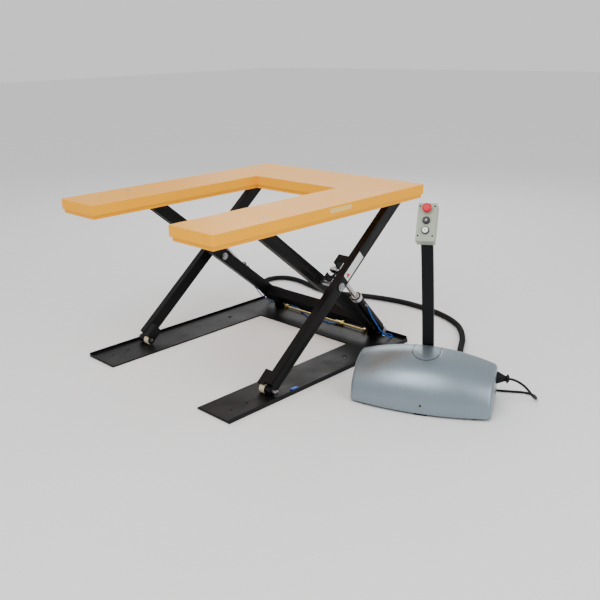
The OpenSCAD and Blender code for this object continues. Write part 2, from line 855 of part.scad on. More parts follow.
// The insert with round ends that closes the cover around the post
module post_cap() {
    color(cover_colour) difference() {
        unit_frame() intersection() {
            cover_shell();
            cap_slot(cap_r);
        }
        post_frame() post_arc(post_w + 4, post_t + 4);
    }
}

// ---------------------------------------------------------------- power unit inside

module unit_tray() {
    color(black) unit_frame() difference() {
        translate([0, 0, unit_lift]) linear_extrude(tray_t) polygon(concat(
            [for (k = [0:12]) let (u = -0.93 + 1.86 * k / 12)
                [u * unit_l / 2, cover_front(u) + unit_wall + 2]],
            [[0.93 * unit_l / 2, unit_depth - 8], [-0.93 * unit_l / 2, unit_depth - 8]]
        ));
        for (x = [-220, 220], y = [30, 240])
            translate([x, y, 0]) cylinder(d = 8.4, h = 40, $fn = 32);
    }
}

// Rubber feet under the tray; the front one shows below the cover
module unit_feet() {
    color(rubber) unit_frame() {
        box_at([-12, -36, 0], [43, -4, unit_lift]);
        for (x = [-260, 220], y = [20, 235])
            translate([x + 20, y, 0]) cylinder(d = 40, h = unit_lift, $fn = 48);
    }
}

module oil_tank() {
    x0 = -268;
    x1 = pump_x0 - 56;
    y0 = 78;
    y1 = 200;
    top = 146;
    wall = 3;
    color([0.75, 0.76, 0.78]) unit_frame() difference() {
        box_at([x0, y0, tray_top], [x1, y1, top]);
        box_at([x0 + wall, y0 + wall, tray_top + wall], [x1 - wall, y1 - wall, top - wall]);
        translate([x0 + 50, 140, top - 10]) cylinder(d = 24, h = 20, $fn = 48);
    }
}

module tank_breather() {
    color(rubber) unit_frame() translate([-218, 140, 0]) {
        translate([0, 0, 130]) cylinder(d = 23.9, h = 16, $fn = 48);
        translate([0, 0, 146]) cylinder(d = 34, h = 12, $fn = 48);
    }
}

// Finned housing of the motor, with its feet and its fan cowl
module motor_housing() {
    x1 = motor_x0 + motor_len;
    fins = 24;
    color([0.45, 0.47, 0.5]) unit_frame() {
        difference() {
            union() {
                translate([0, motor_y, motor_z]) {
                    along_x(2 * (motor_r - 6), motor_x0, x1);
                    for (k = [0:fins - 1]) rotate([360 * k / fins, 0, 0])
                        box_at([motor_x0 + 12, -1.5, motor_r - 8], [x1 - 10, 1.5, motor_r]);
                }
                box_at([motor_x0 + 25, motor_y - 50, tray_top], [x1 - 25, motor_y + 50, tray_top + 20]);
            }
            translate([0, motor_y, motor_z]) {
                along_x(90, motor_x0 + 10, x1 - 10);
                along_x(26, motor_x0 - 1, x1 + 1);
            }
        }
        translate([0, motor_y, motor_z]) difference() {
            along_x(2 * motor_r - 4, x1 + 0.5, x1 + 44);
            along_x(2 * motor_r - 10, x1 - 1, x1 + 41);
            for (k = [0:9]) rotate([36 * k, 0, 0])
                translate([0, 0, 32]) along_x(10, x1 + 30, x1 + 50);
        }
    }
}

// Rotor, shaft, coupling, fan and the pump's driving gear turn as one
module motor_shaft() {
    x1 = motor_x0 + motor_len;
    color(steel) unit_frame() translate([0, motor_y, motor_z]) {
        along_x(16, pump_x0 + 6, x1 + 36);
        along_x(84, motor_x0 + 28, x1 - 28);
        along_x(24, motor_x0 - 30, motor_x0 - 6);
        translate([x1 + 12, 0, 0]) for (k = [0:6])
            rotate([360 * k / 7, 0, 0]) box_at([0, -1, 7], [20, 1, 44]);
        translate([pump_x0 + 10, 0, 0]) pump_gear(0);
    }
}

// A coarse gear with 9 teeth, drawn along X
gear_teeth = 9;
module pump_gear(phase) {
    r_root = gear_r - 3.4;
    r_tip = gear_r + 2.4;
    rotate([phase, 0, 0]) rotate([90, 0, 90]) linear_extrude(gear_t) union() {
        circle(r = r_root, $fn = 48);
        for (k = [0:gear_teeth - 1]) rotate(360 * k / gear_teeth)
            polygon([[r_root - 1, -3.1], [r_tip, -1.1], [r_tip, 1.1], [r_root - 1, 3.1]]);
    }
}

gear_pitch = 2 * gear_r + 0.6;

module driven_gear() {
    color(steel) unit_frame() translate([0, motor_y, motor_z - gear_pitch]) {
        along_x(14, pump_x0 + 6, pump_x0 + 38);
        translate([pump_x0 + 10, 0, 0]) pump_gear(180 / gear_teeth);
    }
}

module pump_housing() {
    x0 = pump_x0;
    color(steel) unit_frame() difference() {
        box_at([x0, motor_y - 34, tray_top], [x0 + 42, motor_y + 34, motor_z + 34]);
        translate([0, motor_y, motor_z]) {
            along_x(2 * gear_r + 6, x0 + 9.5, x0 + 32.5);
            along_x(16.4, x0 + 5, x0 + 43);
        }
        translate([0, motor_y, motor_z - gear_pitch]) {
            along_x(2 * gear_r + 6, x0 + 9.5, x0 + 32.5);
            along_x(14.2, x0 + 5.5, x0 + 38.5);
        }
    }
}

// Valve block with the lowering valve's solenoid on top
module valve_block() {
    x0 = pump_x0 - 56;
    color(steel) unit_frame() {
        difference() {
            box_at([x0, motor_y - 38, tray_top], [x0 + 56, motor_y + 38, 112]);
            translate([x0 + 28, motor_y + 20, 60]) along_y(12, 0, 30);
        }
        translate([x0 + 28, motor_y - 10, 112]) cylinder(d = 36, h = 44, $fn = 48);
        translate([x0 + 28, motor_y + 24, 112]) cylinder(d = 18, h = 16, $fn = 6);
    }
}

module contactor_box() {
    color([0.8, 0.8, 0.78]) unit_frame() {
        box_at([140, 205, tray_top], [260, 262, 124]);
        for (x = [165, 200, 235]) translate([x, 232, 124]) cylinder(d = 12, h = 6, $fn = 32);
    }
}

// Black screws of the cover and the four of the button box's lid
module case_screws() {
    color(rubber) {
        unit_frame() cover_screws(screw_d);
        box_frame() lid_screws(lid_screw_d);
    }
}

// ---------------------------------------------------------------- control post and box

// The bowed post as an arc in the plane across the unit
module post_arc(w, t) {
    translate([0, post_foot_y - post_bow_r, tray_top]) rotate([90, 0, 90])
        rotate_extrude(angle = 12, $fn = 720)
            translate([post_bow_r - t / 2, -w / 2]) square([t, w]);
}

module control_post() {
    color(black) difference() {
        union() {
            post_frame() post_arc(post_w, post_t);
            unit_frame() box_at([post_foot_x - 36, post_foot_y - 30, tray_top],
                                [post_foot_x + 36, post_foot_y + 30, tray_top + 8]);
        }
        // Cut off level with the back of the button box
        box_frame() box_at([-200, -400, -box_d], [200, box_l + 200, 300]);
        unit_frame() box_at([-100, 100, tray_top - 60], [100, 400, tray_top]);
    }
}

module box_base() {
    color(box_colour) box_frame() difference() {
        box_at([-box_w / 2, 0, -box_d], [box_w / 2, box_l, -lid_t]);
        box_at([-box_w / 2 + 3, 3, -box_d + 3], [box_w / 2 - 3, box_l - 3, -lid_t + 1]);
    }
}

lid_screw_d = 7;

module lid_screws(d) {
    for (x = [-31, 31], y = [14, 146]) translate([x, y, -0.5]) cylinder(d = d, h = 2, $fn = 32);
}

module box_lid() {
    color(box_colour) box_frame() difference() {
        box_at([-box_w / 2, 0, -lid_t], [box_w / 2, box_l, 0]);
        box_at([-box_w / 2 + 3, 3, -lid_t - 1], [box_w / 2 - 3, box_l - 3, -3]);
        for (v = [estop_v, up_v, down_v])
            translate([0, v, -10]) cylinder(r = hole_r, h = 20, $fn = 48);
        lid_screws(lid_screw_d + 0.2);
    }
}

// Rings that hold the buttons in the lid, and the bodies behind it
module button_bezels() {
    color(rubber) box_frame() {
        for (v = [up_v, down_v]) translate([0, v, 0]) button_ring(33, 8, 24.6);
        translate([0, estop_v, 0]) button_ring(32, 7, 20.6);
    }
}

module button_ring(d, h, bore) {
    difference() {
        union() {
            cylinder(d = d, h = h, $fn = 64);
            translate([0, 0, -14]) cylinder(d = 2 * hole_r, h = 14 + eps, $fn = 64);
        }
        translate([0, 0, -15]) cylinder(d = 14.4, h = 40, $fn = 48);
        translate([0, 0, 1]) cylinder(d = bore, h = h, $fn = 64);
    }
}

module contact_blocks() {
    color(rubber) box_frame() for (v = [estop_v, up_v, down_v])
        translate([0, v, 0]) box_at([-18, -15, -46], [18, 15, -22]);
}

module push_button(v, c) {
    color(c) box_frame() translate([0, v, 0]) {
        translate([0, 0, 5]) cylinder(d = 24, h = 6, $fn = 64);
        translate([0, 0, -14]) cylinder(d = 14, h = 19 + eps, $fn = 48);
    }
}

module up_button() { push_button(up_v, rubber); }
module down_button() { push_button(down_v, [0.93, 0.93, 0.9]); }

module estop_button() {
    color([0.82, 0.1, 0.13]) box_frame() translate([0, estop_v, 0]) {
        translate([0, 0, -14]) cylinder(d = 14, h = 26, $fn = 48);
        translate([0, 0, 12]) rotate_extrude($fn = 96)
            polygon([[0, 0], [17, 0], [20, 3], [20, 9], [18.6, 12], [14, 14], [0, 15]]);
    }
}

// ---------------------------------------------------------------- hose and mains cord

gland_y = 205;
gland_z = 122;
hose_exit_x = 100;
hose_exit_z = 70;
hose_entry_y = 470;
hose_entry_z = hose_d / 2 + 0.5;
gland_out = 55;
unit_out = 30;
entry_out = 24;

// A smooth curve through points, with n steps from each point to the next
function spline(p, n) = concat(
    [for (i = [0:len(p) - 2], k = [0:n - 1])
        let (t = k / n, a = p[max(i - 1, 0)], b = p[i], c = p[i + 1], d = p[min(i + 2, len(p) - 1)])
        b + 0.5 * ((c - a) * t + (2 * a - 5 * b + 4 * c - d) * t ^ 2
            + (3 * b - a - 3 * c + d) * t ^ 3)],
    [p[len(p) - 1]]
);

// Turns points from the power unit's frame into the table's
function from_unit(p) = unit_pos + [
    p[0] * cos(unit_rot) - p[1] * sin(unit_rot),
    p[0] * sin(unit_rot) + p[1] * cos(unit_rot), p[2]];

// Route of the floor hose: out of the power unit's back, down to the floor, round in a long
// S and back into the table's closed end
hose_gap = 0.3;
hose_straight = 5;
hose_start = unit_depth + unit_out + hose_gap;
hose_end = base_end + entry_out + hose_gap;
hose_route = concat(
    [for (p = [[hose_start + hose_straight, hose_exit_z], [unit_depth + 60, hose_exit_z],
               [unit_depth + 110, hose_exit_z - 6], [unit_depth + 170, hose_exit_z - 21]])
        from_unit([hose_exit_x, p[0], p[1]])],
    [[-84, -938, 32], [20, -886, 20]],
    [for (p = [
        [136, -824], [232, -774], [322, -714], [400, -645], [458, -564], [498, -475],
        [524, -380], [537, -280], [538, -180], [523, -75], [492, 35], [452, 130],
        [410, 215], [384, 305], [387, 400], [410, 495], [431, 585], [438, 672],
        [422, 731], [379, 774], [320, 790], [261, 774], [218, 731], [202, 672],
        [202, 621], [202, 570], [189, 520], [152, 483],
        [hose_end + 20 + hose_straight, hose_entry_y], [hose_end + hose_straight, hose_entry_y]
    ]) [p[0], p[1], hose_entry_z]]
);

// The hose meets both of its glands squarely, on a short straight piece
hose_line = concat(
    [from_unit([hose_exit_x, hose_start, hose_exit_z])], spline(hose_route, 4),
    [[hose_end, hose_entry_y, hose_entry_z]]
);

module conduit_hose() { color(rubber) swept_tube(hose_line, hose_d, 12); }

// Glands at both ends of the floor hose
module hose_glands() {
    color(rubber) {
        unit_frame() translate([hose_exit_x, unit_depth - 8, hose_exit_z]) difference() {
            union() {
                along_y(hose_d + 12, 0, 8 + unit_out);
                along_y(hose_d + 22, 9, 17);
            }
            along_y(hose_d - 8, -1, 60);
        }
        translate([base_end - flange_t, hose_entry_y, hose_entry_z]) difference() {
            translate([flange_t, 0, 0]) along_x(2 * hose_entry_z - 0.4, 0, entry_out);
            along_x(hose_d - 8, -1, 60);
        }
    }
}

// Tapered strain relief with a flared collar
module mains_gland() {
    color(rubber) unit_frame() translate([unit_l / 2 - 6, gland_y, gland_z]) rotate([0, 90, 0])
        rotate_extrude($fn = 64) polygon([
            [cord_d / 2, 0], [14, 0], [14, 6], [28, 6], [27, 12], [14, 40], [13, 46],
            [21, 50], [21, 54], [10, 6 + gland_out], [cord_d / 2, 6 + gland_out]
        ]);
}

// The mains cord's coil lies behind the power unit: two layers of three turns, which wind in
// and then out again. Places are in the power unit's frame.
coil_at = [-60, 395];
coil_in = 42;
coil_turns = 3;
coil_out = coil_in + coil_turns * cord_d;
cord_z = cord_d / 2 + 0.5;
turn_y = coil_at[1] - coil_out;
tangent_x = 46;
plug_d = 58;
plug_z = 2 * cord_d + 0.5 + plug_d / 2;
lead_r = 50;
plug_at = [coil_at[0] - tangent_x, turn_y + 2 * lead_r];

// Out of the strain relief, down to the floor, back under the hose and up to the coil
cord_route = [for (p = [
    [unit_l / 2 + gland_out, gland_y, gland_z], [unit_l / 2 + gland_out + 14, gland_y + 0.5, gland_z - 1],
    [402, 208, 113], [428, 214, 95], [449, 225, 70], [466, 240, 43], [479, 260, 21],
    [485, 284, cord_z + 3], [481, 309, cord_z], [465, 328, cord_z], [441, 337, cord_z],
    [412, 337, cord_z], [370, 330, cord_z], [320, 323, cord_z], [270, turn_y, cord_z],
    [200, turn_y, cord_z], [130, turn_y, cord_z], [60, turn_y, cord_z],
    [coil_at[0] + tangent_x, turn_y, cord_z]
]) from_unit(p)];

// From the coil's last turn, back round and up into the plug that lies on the coil
lead_steps = 8;
lead_route = [
    for (k = [0:lead_steps]) let (a = -90 - 180 * k / lead_steps, t = k / lead_steps)
        from_unit([plug_at[0] - 10 + lead_r * cos(a), turn_y + lead_r + lead_r * sin(a),
                   3 * cord_z + (plug_z - 3 * cord_z) * t * t * (3 - 2 * t)]),
    from_unit([plug_at[0], plug_at[1], plug_z])
];

module mains_cord() {
    color(rubber) {
        swept_tube(spline(cord_route, 4), cord_d, 10);
        swept_tube(spline(lead_route, 2), cord_d, 10);
    }
}

module cord_coil() {
    color(rubber) unit_frame() translate([coil_at[0], coil_at[1], 0.5]) rotate_extrude($fn = 72)
        translate([coil_in - cord_d / 2, 0]) square([(coil_turns + 1) * cord_d, 2 * cord_d]);
}

// Industrial plug that lies on the coil, with its pins towards the power unit's right end
module mains_plug() {
    color([0.75, 0.12, 0.1]) unit_frame()
        translate([plug_at[0], plug_at[1], plug_z]) rotate([0, 90, 0]) {
            cylinder(d1 = 24, d2 = 44, h = 22, $fn = 64);
            translate([0, 0, 22]) cylinder(d = 44, h = 26, $fn = 64);
            translate([0, 0, 48]) cylinder(d = plug_d, h = 62, $fn = 64);
            for (k = [0:3]) rotate(90 * k + 45) translate([15, 0, 110 - eps])
                cylinder(d = 6, h = 20, $fn = 24);
        }
}

// ---------------------------------------------------------------- assembly

near_rail();
far_rail();
cross_plate();
base_lugs();
base_pins();
hydraulic_pipes();
pipe_fittings();
unit_tray();
unit_feet();
unit_cover();
post_cap();
case_screws();
oil_tank();
tank_breather();
motor_housing();
pump_housing();
valve_block();
contactor_box();
hose_glands();
conduit_hose();
mains_gland();
mains_cord();
cord_coil();
mains_plug();
control_post();
box_base();
box_lid();
button_bezels();
contact_blocks();
near_inner_leg();
far_inner_leg();
torsion_beam();
upper_axles();
centre_pins();
barrel_pins();
near_outer_leg();
far_outer_leg();
lower_axles();
rod_brackets();
platform_deck();
platform_skirt();
roller_tracks();
top_lugs();
top_pins();
lifting_bosses();
trip_switches();
safety_frame();
near_lower_roller();
far_lower_roller();
near_upper_roller();
far_upper_roller();
near_barrel();
far_barrel();
near_rod();
far_rod();
estop_button();
up_button();
down_button();
motor_shaft();
driven_gear();
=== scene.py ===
# %% [markdown]
# # A U-shaped scissor lift table
# The frame of this lesson is a finished CAD model of a low scissor lift with its power unit. Its
# plates, legs, pins and rollers already have their true shapes and places, so they are kept and
# only get rounded edges and real finishes. What CAD draws badly is modelled here: the smooth
# pressed cover, the ribbed hose, the coiled mains lead, thin tubes, rings, labels and marks.

# %% Load the frame
import json
import math

import bpy
import numpy as np
from mathutils import Matrix, Vector


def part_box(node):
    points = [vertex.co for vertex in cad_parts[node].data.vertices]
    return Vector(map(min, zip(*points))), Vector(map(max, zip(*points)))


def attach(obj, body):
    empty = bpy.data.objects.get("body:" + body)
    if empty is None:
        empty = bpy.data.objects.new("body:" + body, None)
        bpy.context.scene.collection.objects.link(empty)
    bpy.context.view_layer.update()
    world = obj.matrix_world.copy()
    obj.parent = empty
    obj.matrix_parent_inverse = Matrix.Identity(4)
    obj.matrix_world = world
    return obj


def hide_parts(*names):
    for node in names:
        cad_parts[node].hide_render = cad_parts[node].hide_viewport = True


def rounded(values):
    return [round(v, 3) for v in values]


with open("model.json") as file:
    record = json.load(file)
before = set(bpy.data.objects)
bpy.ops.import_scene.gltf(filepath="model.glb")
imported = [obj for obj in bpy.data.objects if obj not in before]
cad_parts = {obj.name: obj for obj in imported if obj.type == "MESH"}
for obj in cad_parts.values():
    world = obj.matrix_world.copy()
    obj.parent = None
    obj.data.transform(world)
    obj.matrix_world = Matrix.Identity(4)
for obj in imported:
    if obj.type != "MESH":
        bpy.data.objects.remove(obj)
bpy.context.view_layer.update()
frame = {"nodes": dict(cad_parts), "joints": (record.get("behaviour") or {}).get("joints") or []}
nodes = frame["nodes"]
joints = {j["name"]: j for j in frame["joints"]}
bpy.ops.object.select_all(action="DESELECT")

# %% [markdown]
# ## Local frames
# Every sub-assembly is easiest to model where it lies flat. The joints of the frame say where the
# legs and cylinders are, and the motor's shaft says how the power unit is turned, so a few small
# matrices carry points from each local frame, in metres, into the table's frame.

# %% Frames of the legs, the cylinders, the power unit and the button box
MM = 0.001


def frame_matrix(x_axis, y_axis, z_axis, origin):
    turned = Matrix((x_axis, y_axis, z_axis)).transposed().to_4x4()
    turned.translation = Vector(origin)
    return turned


base_pivot = Vector(joints["scissor_lift"]["pos_m"])
top_pivot = Vector(joints["platform_hinge"]["pos_m"])
cross_pivot = Vector(joints["scissor_cross"]["pos_m"])
leg_angle = math.atan2(cross_pivot.z - base_pivot.z, base_pivot.x - cross_pivot.x)
leg_length = 2 * (cross_pivot - base_pivot).length
leg_cos, leg_sin = math.cos(leg_angle), math.sin(leg_angle)
outer_frame = frame_matrix((leg_cos, 0, leg_sin), (0, 1, 0), (-leg_sin, 0, leg_cos), top_pivot)

rod_axis = Vector(joints["near_rod_stroke"]["axis"])
cylinder_frames = {
    side: frame_matrix(-rod_axis, (0, 1, 0), Vector((0, 1, 0)).cross(rod_axis),
                       joints[side + "_barrel_tilt"]["pos_m"])
    for side in ("near", "far")
}

shaft_axis = Vector(joints["motor_spin"]["axis"])
unit_back = Vector((0, 0, 1)).cross(shaft_axis)
shaft_place = Vector((100, 122, 86)) * MM
unit_origin = (Vector(joints["motor_spin"]["pos_m"]) - shaft_axis * shaft_place.x
               - unit_back * shaft_place.y - Vector((0, 0, shaft_place.z)))
unit_frame = frame_matrix(shaft_axis, unit_back, (0, 0, 1), unit_origin)

POST_LEAN = math.radians(2.2)
POST_SHIFT = 5 * MM
box_out = -Vector(joints["estop_press"]["axis"])
post_frame = (unit_frame @ Matrix.Translation((POST_SHIFT, 0, 0))
              @ Matrix.Rotation(-POST_LEAN, 4, "Y"))
box_right = post_frame.to_3x3() @ Vector((1, 0, 0))
box_down = box_out.cross(box_right)
BOX_TILT = math.radians(30)
BOX_LENGTH = 170 * MM
BOX_FOOT = Vector((0, 100 * MM, 754 * MM))
box_along = Vector((0, math.sin(BOX_TILT), math.cos(BOX_TILT)))
box_origin = post_frame @ (BOX_FOOT + BOX_LENGTH * box_along)
if box_down.z > 0:
    box_down = -box_down
box_frame = frame_matrix(box_right, -box_down, box_out, box_origin)
print("leg angle", round(math.degrees(leg_angle), 2), "power unit at", rounded(unit_origin))

# %% [markdown]
# ## Camera
# A slightly long lens looks down on the open end of the U from the power unit's side. Its place
# and three angles are plain numbers, and its axes are built from them.

# %% Camera
CAMERA_PLACE = Vector((-3.2608, -2.8111, 1.5863))
CAMERA_TURN = math.radians(43.52)
CAMERA_DIP = math.radians(18.41)
CAMERA_ROLL = math.radians(-1.30)

look = Vector((math.sin(CAMERA_TURN) * math.cos(CAMERA_DIP),
               math.cos(CAMERA_TURN) * math.cos(CAMERA_DIP), -math.sin(CAMERA_DIP)))
level_right = Vector((math.cos(CAMERA_TURN), -math.sin(CAMERA_TURN), 0))
level_up = level_right.cross(look)
camera_right = level_right * math.cos(CAMERA_ROLL) + level_up * math.sin(CAMERA_ROLL)
camera_up = level_up * math.cos(CAMERA_ROLL) - level_right * math.sin(CAMERA_ROLL)
bpy.ops.object.camera_add()
camera = bpy.context.object
camera.matrix_world = frame_matrix(camera_right, camera_up, -look, CAMERA_PLACE)
camera.data.sensor_width = 36
camera.data.lens = 46.3
camera.data.shift_x = 0.079
camera.data.shift_y = -0.0065
bpy.context.scene.camera = camera
print("camera looks along", rounded(look), "with a lens of", camera.data.lens)

# %% [markdown]
# ## Light and floor
# Big soft lights and a bright sky give the broad highlights of a studio, and a pale floor keeps
# the black base readable.


# %% Lights, sky and floor
def area_light(name, place, target, size, power):
    bpy.ops.object.light_add(type="AREA", location=place)
    light = bpy.context.object
    light.name = name
    light.data.size = size
    light.data.energy = power
    light.rotation_mode = "QUATERNION"
    light.rotation_quaternion = (Vector(target) - Vector(place)).to_track_quat("-Z", "Y")


def set_inputs(node, values):
    for label, value in values.items():
        node.inputs[label].default_value = value


area_light("key_light", (-3.2, -1.2, 3.6), (-0.5, -0.2, 0.4), 2.4, 95)
area_light("fill_light", (-0.6, -4.2, 2.2), (-0.5, -0.4, 0.4), 3.0, 60)
area_light("back_light", (2.6, 2.4, 3.2), (-0.4, 0, 0.6), 2.6, 70)

sky = bpy.data.worlds.new("studio_sky")
bpy.context.scene.world = sky
sky.use_nodes = True
set_inputs(sky.node_tree.nodes["Background"], {"Color": (1, 1, 1, 1), "Strength": 0.9})

bpy.ops.mesh.primitive_plane_add(size=60, location=(0, 0, -0.0004))
floor = bpy.context.object
floor.name = "studio_floor"
floor_paint = bpy.data.materials.new("studio_floor")
floor_paint.use_nodes = True
set_inputs(floor_paint.node_tree.nodes["Principled BSDF"],
           {"Base Color": (0.86, 0.86, 0.86, 1), "Roughness": 0.75})
floor.data.materials.append(floor_paint)

# %% [markdown]
# ## Node groups for what finishes share
# Three effects come back in many finishes: orange peel, scratches and dust. Each is one group,
# placed in every material that needs it with that material's own numbers. First come short
# helpers that make a group and its usual nodes.


# %% Helpers to build node groups
def new_group(name, inputs, outputs):
    group = bpy.data.node_groups.new(name, "ShaderNodeTree")
    for label, kind, value in inputs:
        socket = group.interface.new_socket(label, in_out="INPUT", socket_type=kind)
        socket.default_value = value
    for label, kind in outputs:
        group.interface.new_socket(label, in_out="OUTPUT", socket_type=kind)
    return group, group.nodes.new("NodeGroupInput"), group.nodes.new("NodeGroupOutput")


def add_node(tree, kind, label="", **settings):
    node = tree.nodes.new(kind)
    node.label = label
    for key, value in settings.items():
        setattr(node, key, value)
    return node


def object_noise(tree, scale_socket, detail, roughness):
    place = add_node(tree, "ShaderNodeTexCoord")
    noise = add_node(tree, "ShaderNodeTexNoise")
    set_inputs(noise, {"Detail": detail, "Roughness": roughness})
    tree.links.new(place.outputs["Object"], noise.inputs["Vector"])
    if isinstance(scale_socket, (int, float)):
        noise.inputs["Scale"].default_value = scale_socket
    else:
        tree.links.new(scale_socket, noise.inputs["Scale"])
    return noise


def map_range(tree, value, low, high, to_low, to_high):
    node = add_node(tree, "ShaderNodeMapRange")
    tree.links.new(value, node.inputs["Value"])
    for socket, number in zip(("From Min", "From Max", "To Min", "To Max"), (low, high, to_low, to_high)):
        if isinstance(number, (int, float)):
            node.inputs[socket].default_value = number
        else:
            tree.links.new(number, node.inputs[socket])
    return node.outputs["Result"]


def math_node(tree, operation, first, second):
    node = add_node(tree, "ShaderNodeMath", operation=operation)
    for socket, value in zip(node.inputs, (first, second)):
        if isinstance(value, (int, float)):
            socket.default_value = value
        else:
            tree.links.new(value, socket)
    return node.outputs[0]


def mix_colour(tree, factor, first, second, blend="MIX"):
    node = add_node(tree, "ShaderNodeMix", data_type="RGBA", blend_type=blend)
    for socket, value in ((node.inputs[0], factor), (node.inputs[6], first), (node.inputs[7], second)):
        if isinstance(value, (int, float, tuple)):
            socket.default_value = value
        else:
            tree.links.new(value, socket)
    return node.outputs[2]


# %% [markdown]
# Sprayed paint has orange peel, a fine, soft waviness that breaks up reflections. Its gloss and
# tone also change a little, in broad clouds.

# %% Orange peel and uneven gloss
SOCKET = "NodeSocketFloat"
COLOUR = "NodeSocketColor"
CLOUD_SCALE = 5.5

paint_peel, peel_in, peel_out = new_group(
    "paint_peel",
    [("Peel Scale", SOCKET, 420.0), ("Gloss Low", SOCKET, 0.18), ("Gloss High", SOCKET, 0.32),
     ("Tone", SOCKET, 0.05)],
    [("Height", SOCKET), ("Roughness", SOCKET), ("Shade", SOCKET)],
)
peel_noise = object_noise(paint_peel, peel_in.outputs["Peel Scale"], 2, 0.5)
cloud_noise = object_noise(paint_peel, CLOUD_SCALE, 5, 0.6)
paint_peel.links.new(peel_noise.outputs["Fac"], peel_out.inputs["Height"])
paint_peel.links.new(
    map_range(paint_peel, cloud_noise.outputs["Fac"], 0.3, 0.7,
              peel_in.outputs["Gloss Low"], peel_in.outputs["Gloss High"]),
    peel_out.inputs["Roughness"])
tone_low = math_node(paint_peel, "SUBTRACT", 1.0, peel_in.outputs["Tone"])
paint_peel.links.new(
    map_range(paint_peel, cloud_noise.outputs["Fac"], 0.25, 0.75, tone_low, 1.0),
    peel_out.inputs["Shade"])
print("group", paint_peel.name, len(paint_peel.nodes), "nodes")

# %% [markdown]
# Handled steel has small scratches, which are noise stretched along one axis, and cloudy stains.

# %% Scratches of handled metal
STAIN_SCALE = 28.0
metal_scuff, scuff_in, scuff_out = new_group(
    "metal_scuff",
    [("Grain Scale", SOCKET, 60.0), ("Stretch", SOCKET, 14.0), ("Rough Low", SOCKET, 0.2),
     ("Rough High", SOCKET, 0.45)],
    [("Height", SOCKET), ("Roughness", SOCKET), ("Stain", SOCKET)],
)
grain_place = add_node(metal_scuff, "ShaderNodeTexCoord")
grain_stretch = add_node(metal_scuff, "ShaderNodeVectorMath", operation="MULTIPLY")
grain_vector = add_node(metal_scuff, "ShaderNodeCombineXYZ")
for axis_name in ("X", "Z"):
    metal_scuff.links.new(scuff_in.outputs["Stretch"], grain_vector.inputs[axis_name])
grain_vector.inputs["Y"].default_value = 1.0
metal_scuff.links.new(grain_place.outputs["Object"], grain_stretch.inputs[0])
metal_scuff.links.new(grain_vector.outputs["Vector"], grain_stretch.inputs[1])
grain_noise = add_node(metal_scuff, "ShaderNodeTexNoise")
grain_noise.inputs["Detail"].default_value = 6
metal_scuff.links.new(grain_stretch.outputs["Vector"], grain_noise.inputs["Vector"])
metal_scuff.links.new(scuff_in.outputs["Grain Scale"], grain_noise.inputs["Scale"])
stain_noise = object_noise(metal_scuff, STAIN_SCALE, 6, 0.65)
metal_scuff.links.new(grain_noise.outputs["Fac"], scuff_out.inputs["Height"])
metal_scuff.links.new(
    map_range(metal_scuff, grain_noise.outputs["Fac"], 0.3, 0.7,
              scuff_in.outputs["Rough Low"], scuff_in.outputs["Rough High"]),
    scuff_out.inputs["Roughness"])
metal_scuff.links.new(
    map_range(metal_scuff, stain_noise.outputs["Fac"], 0.45, 0.75, 0.0, 1.0),
    scuff_out.inputs["Stain"])
print("group", metal_scuff.name, len(metal_scuff.nodes), "nodes")

# %% [markdown]
# Dust lies in patches, and only on faces that look up. It also dulls what it covers.

# %% Dust on faces that look up
DUST_SCALE = 9.0
top_dust, dust_in, dust_out = new_group(
    "top_dust",
    [("Colour", COLOUR, (0.5, 0.5, 0.5, 1)), ("Dust Colour", COLOUR, (0.55, 0.53, 0.5, 1)),
     ("Amount", SOCKET, 0.1), ("Roughness", SOCKET, 0.3)],
    [("Colour", COLOUR), ("Roughness", SOCKET)],
)
facing = add_node(top_dust, "ShaderNodeNewGeometry")
facing_parts = add_node(top_dust, "ShaderNodeSeparateXYZ")
top_dust.links.new(facing.outputs["Normal"], facing_parts.inputs["Vector"])
upward = map_range(top_dust, facing_parts.outputs["Z"], 0.2, 1.0, 0.0, 1.0)
dust_patches = object_noise(top_dust, DUST_SCALE, 8, 0.7)
dust_spread = map_range(top_dust, dust_patches.outputs["Fac"], 0.35, 0.8, 0.0, 1.0)
dust_share = math_node(top_dust, "MULTIPLY", upward, dust_spread)
dust_share = math_node(top_dust, "MULTIPLY", dust_share, dust_in.outputs["Amount"])
top_dust.links.new(
    mix_colour(top_dust, dust_share, dust_in.outputs["Colour"], dust_in.outputs["Dust Colour"]),
    dust_out.inputs["Colour"])
rough_lift = math_node(top_dust, "MULTIPLY", dust_share, 0.5)
top_dust.links.new(math_node(top_dust, "ADD", rough_lift, dust_in.outputs["Roughness"]),
                   dust_out.inputs["Roughness"])
print("group", top_dust.name, len(top_dust.nodes), "nodes")


# %% [markdown]
# ## Recipes for finishes
# Paint, plastic and rubber share one recipe: a colour with a fine relief, uneven gloss and dust.
# Paint has the broader relief of orange peel, and metal flakes if it is a metallic one. A moulded
# surface has a finer and shallower grain.


# %% Recipes for paint and for moulded surfaces
def group_node(material, group):
    node = material.node_tree.nodes.new("ShaderNodeGroup")
    node.node_tree = group
    return node


def bump_node(material, height, strength, distance):
    bump = material.node_tree.nodes.new("ShaderNodeBump")
    bump.inputs["Strength"].default_value = strength
    bump.inputs["Distance"].default_value = distance
    material.node_tree.links.new(height, bump.inputs["Height"])
    return bump.outputs["Normal"]


def start_material(name):
    material = bpy.data.materials.new(name)
    material.use_nodes = True
    return material, material.node_tree, material.node_tree.nodes["Principled BSDF"]


FLAKE_SCALE = 1400.0


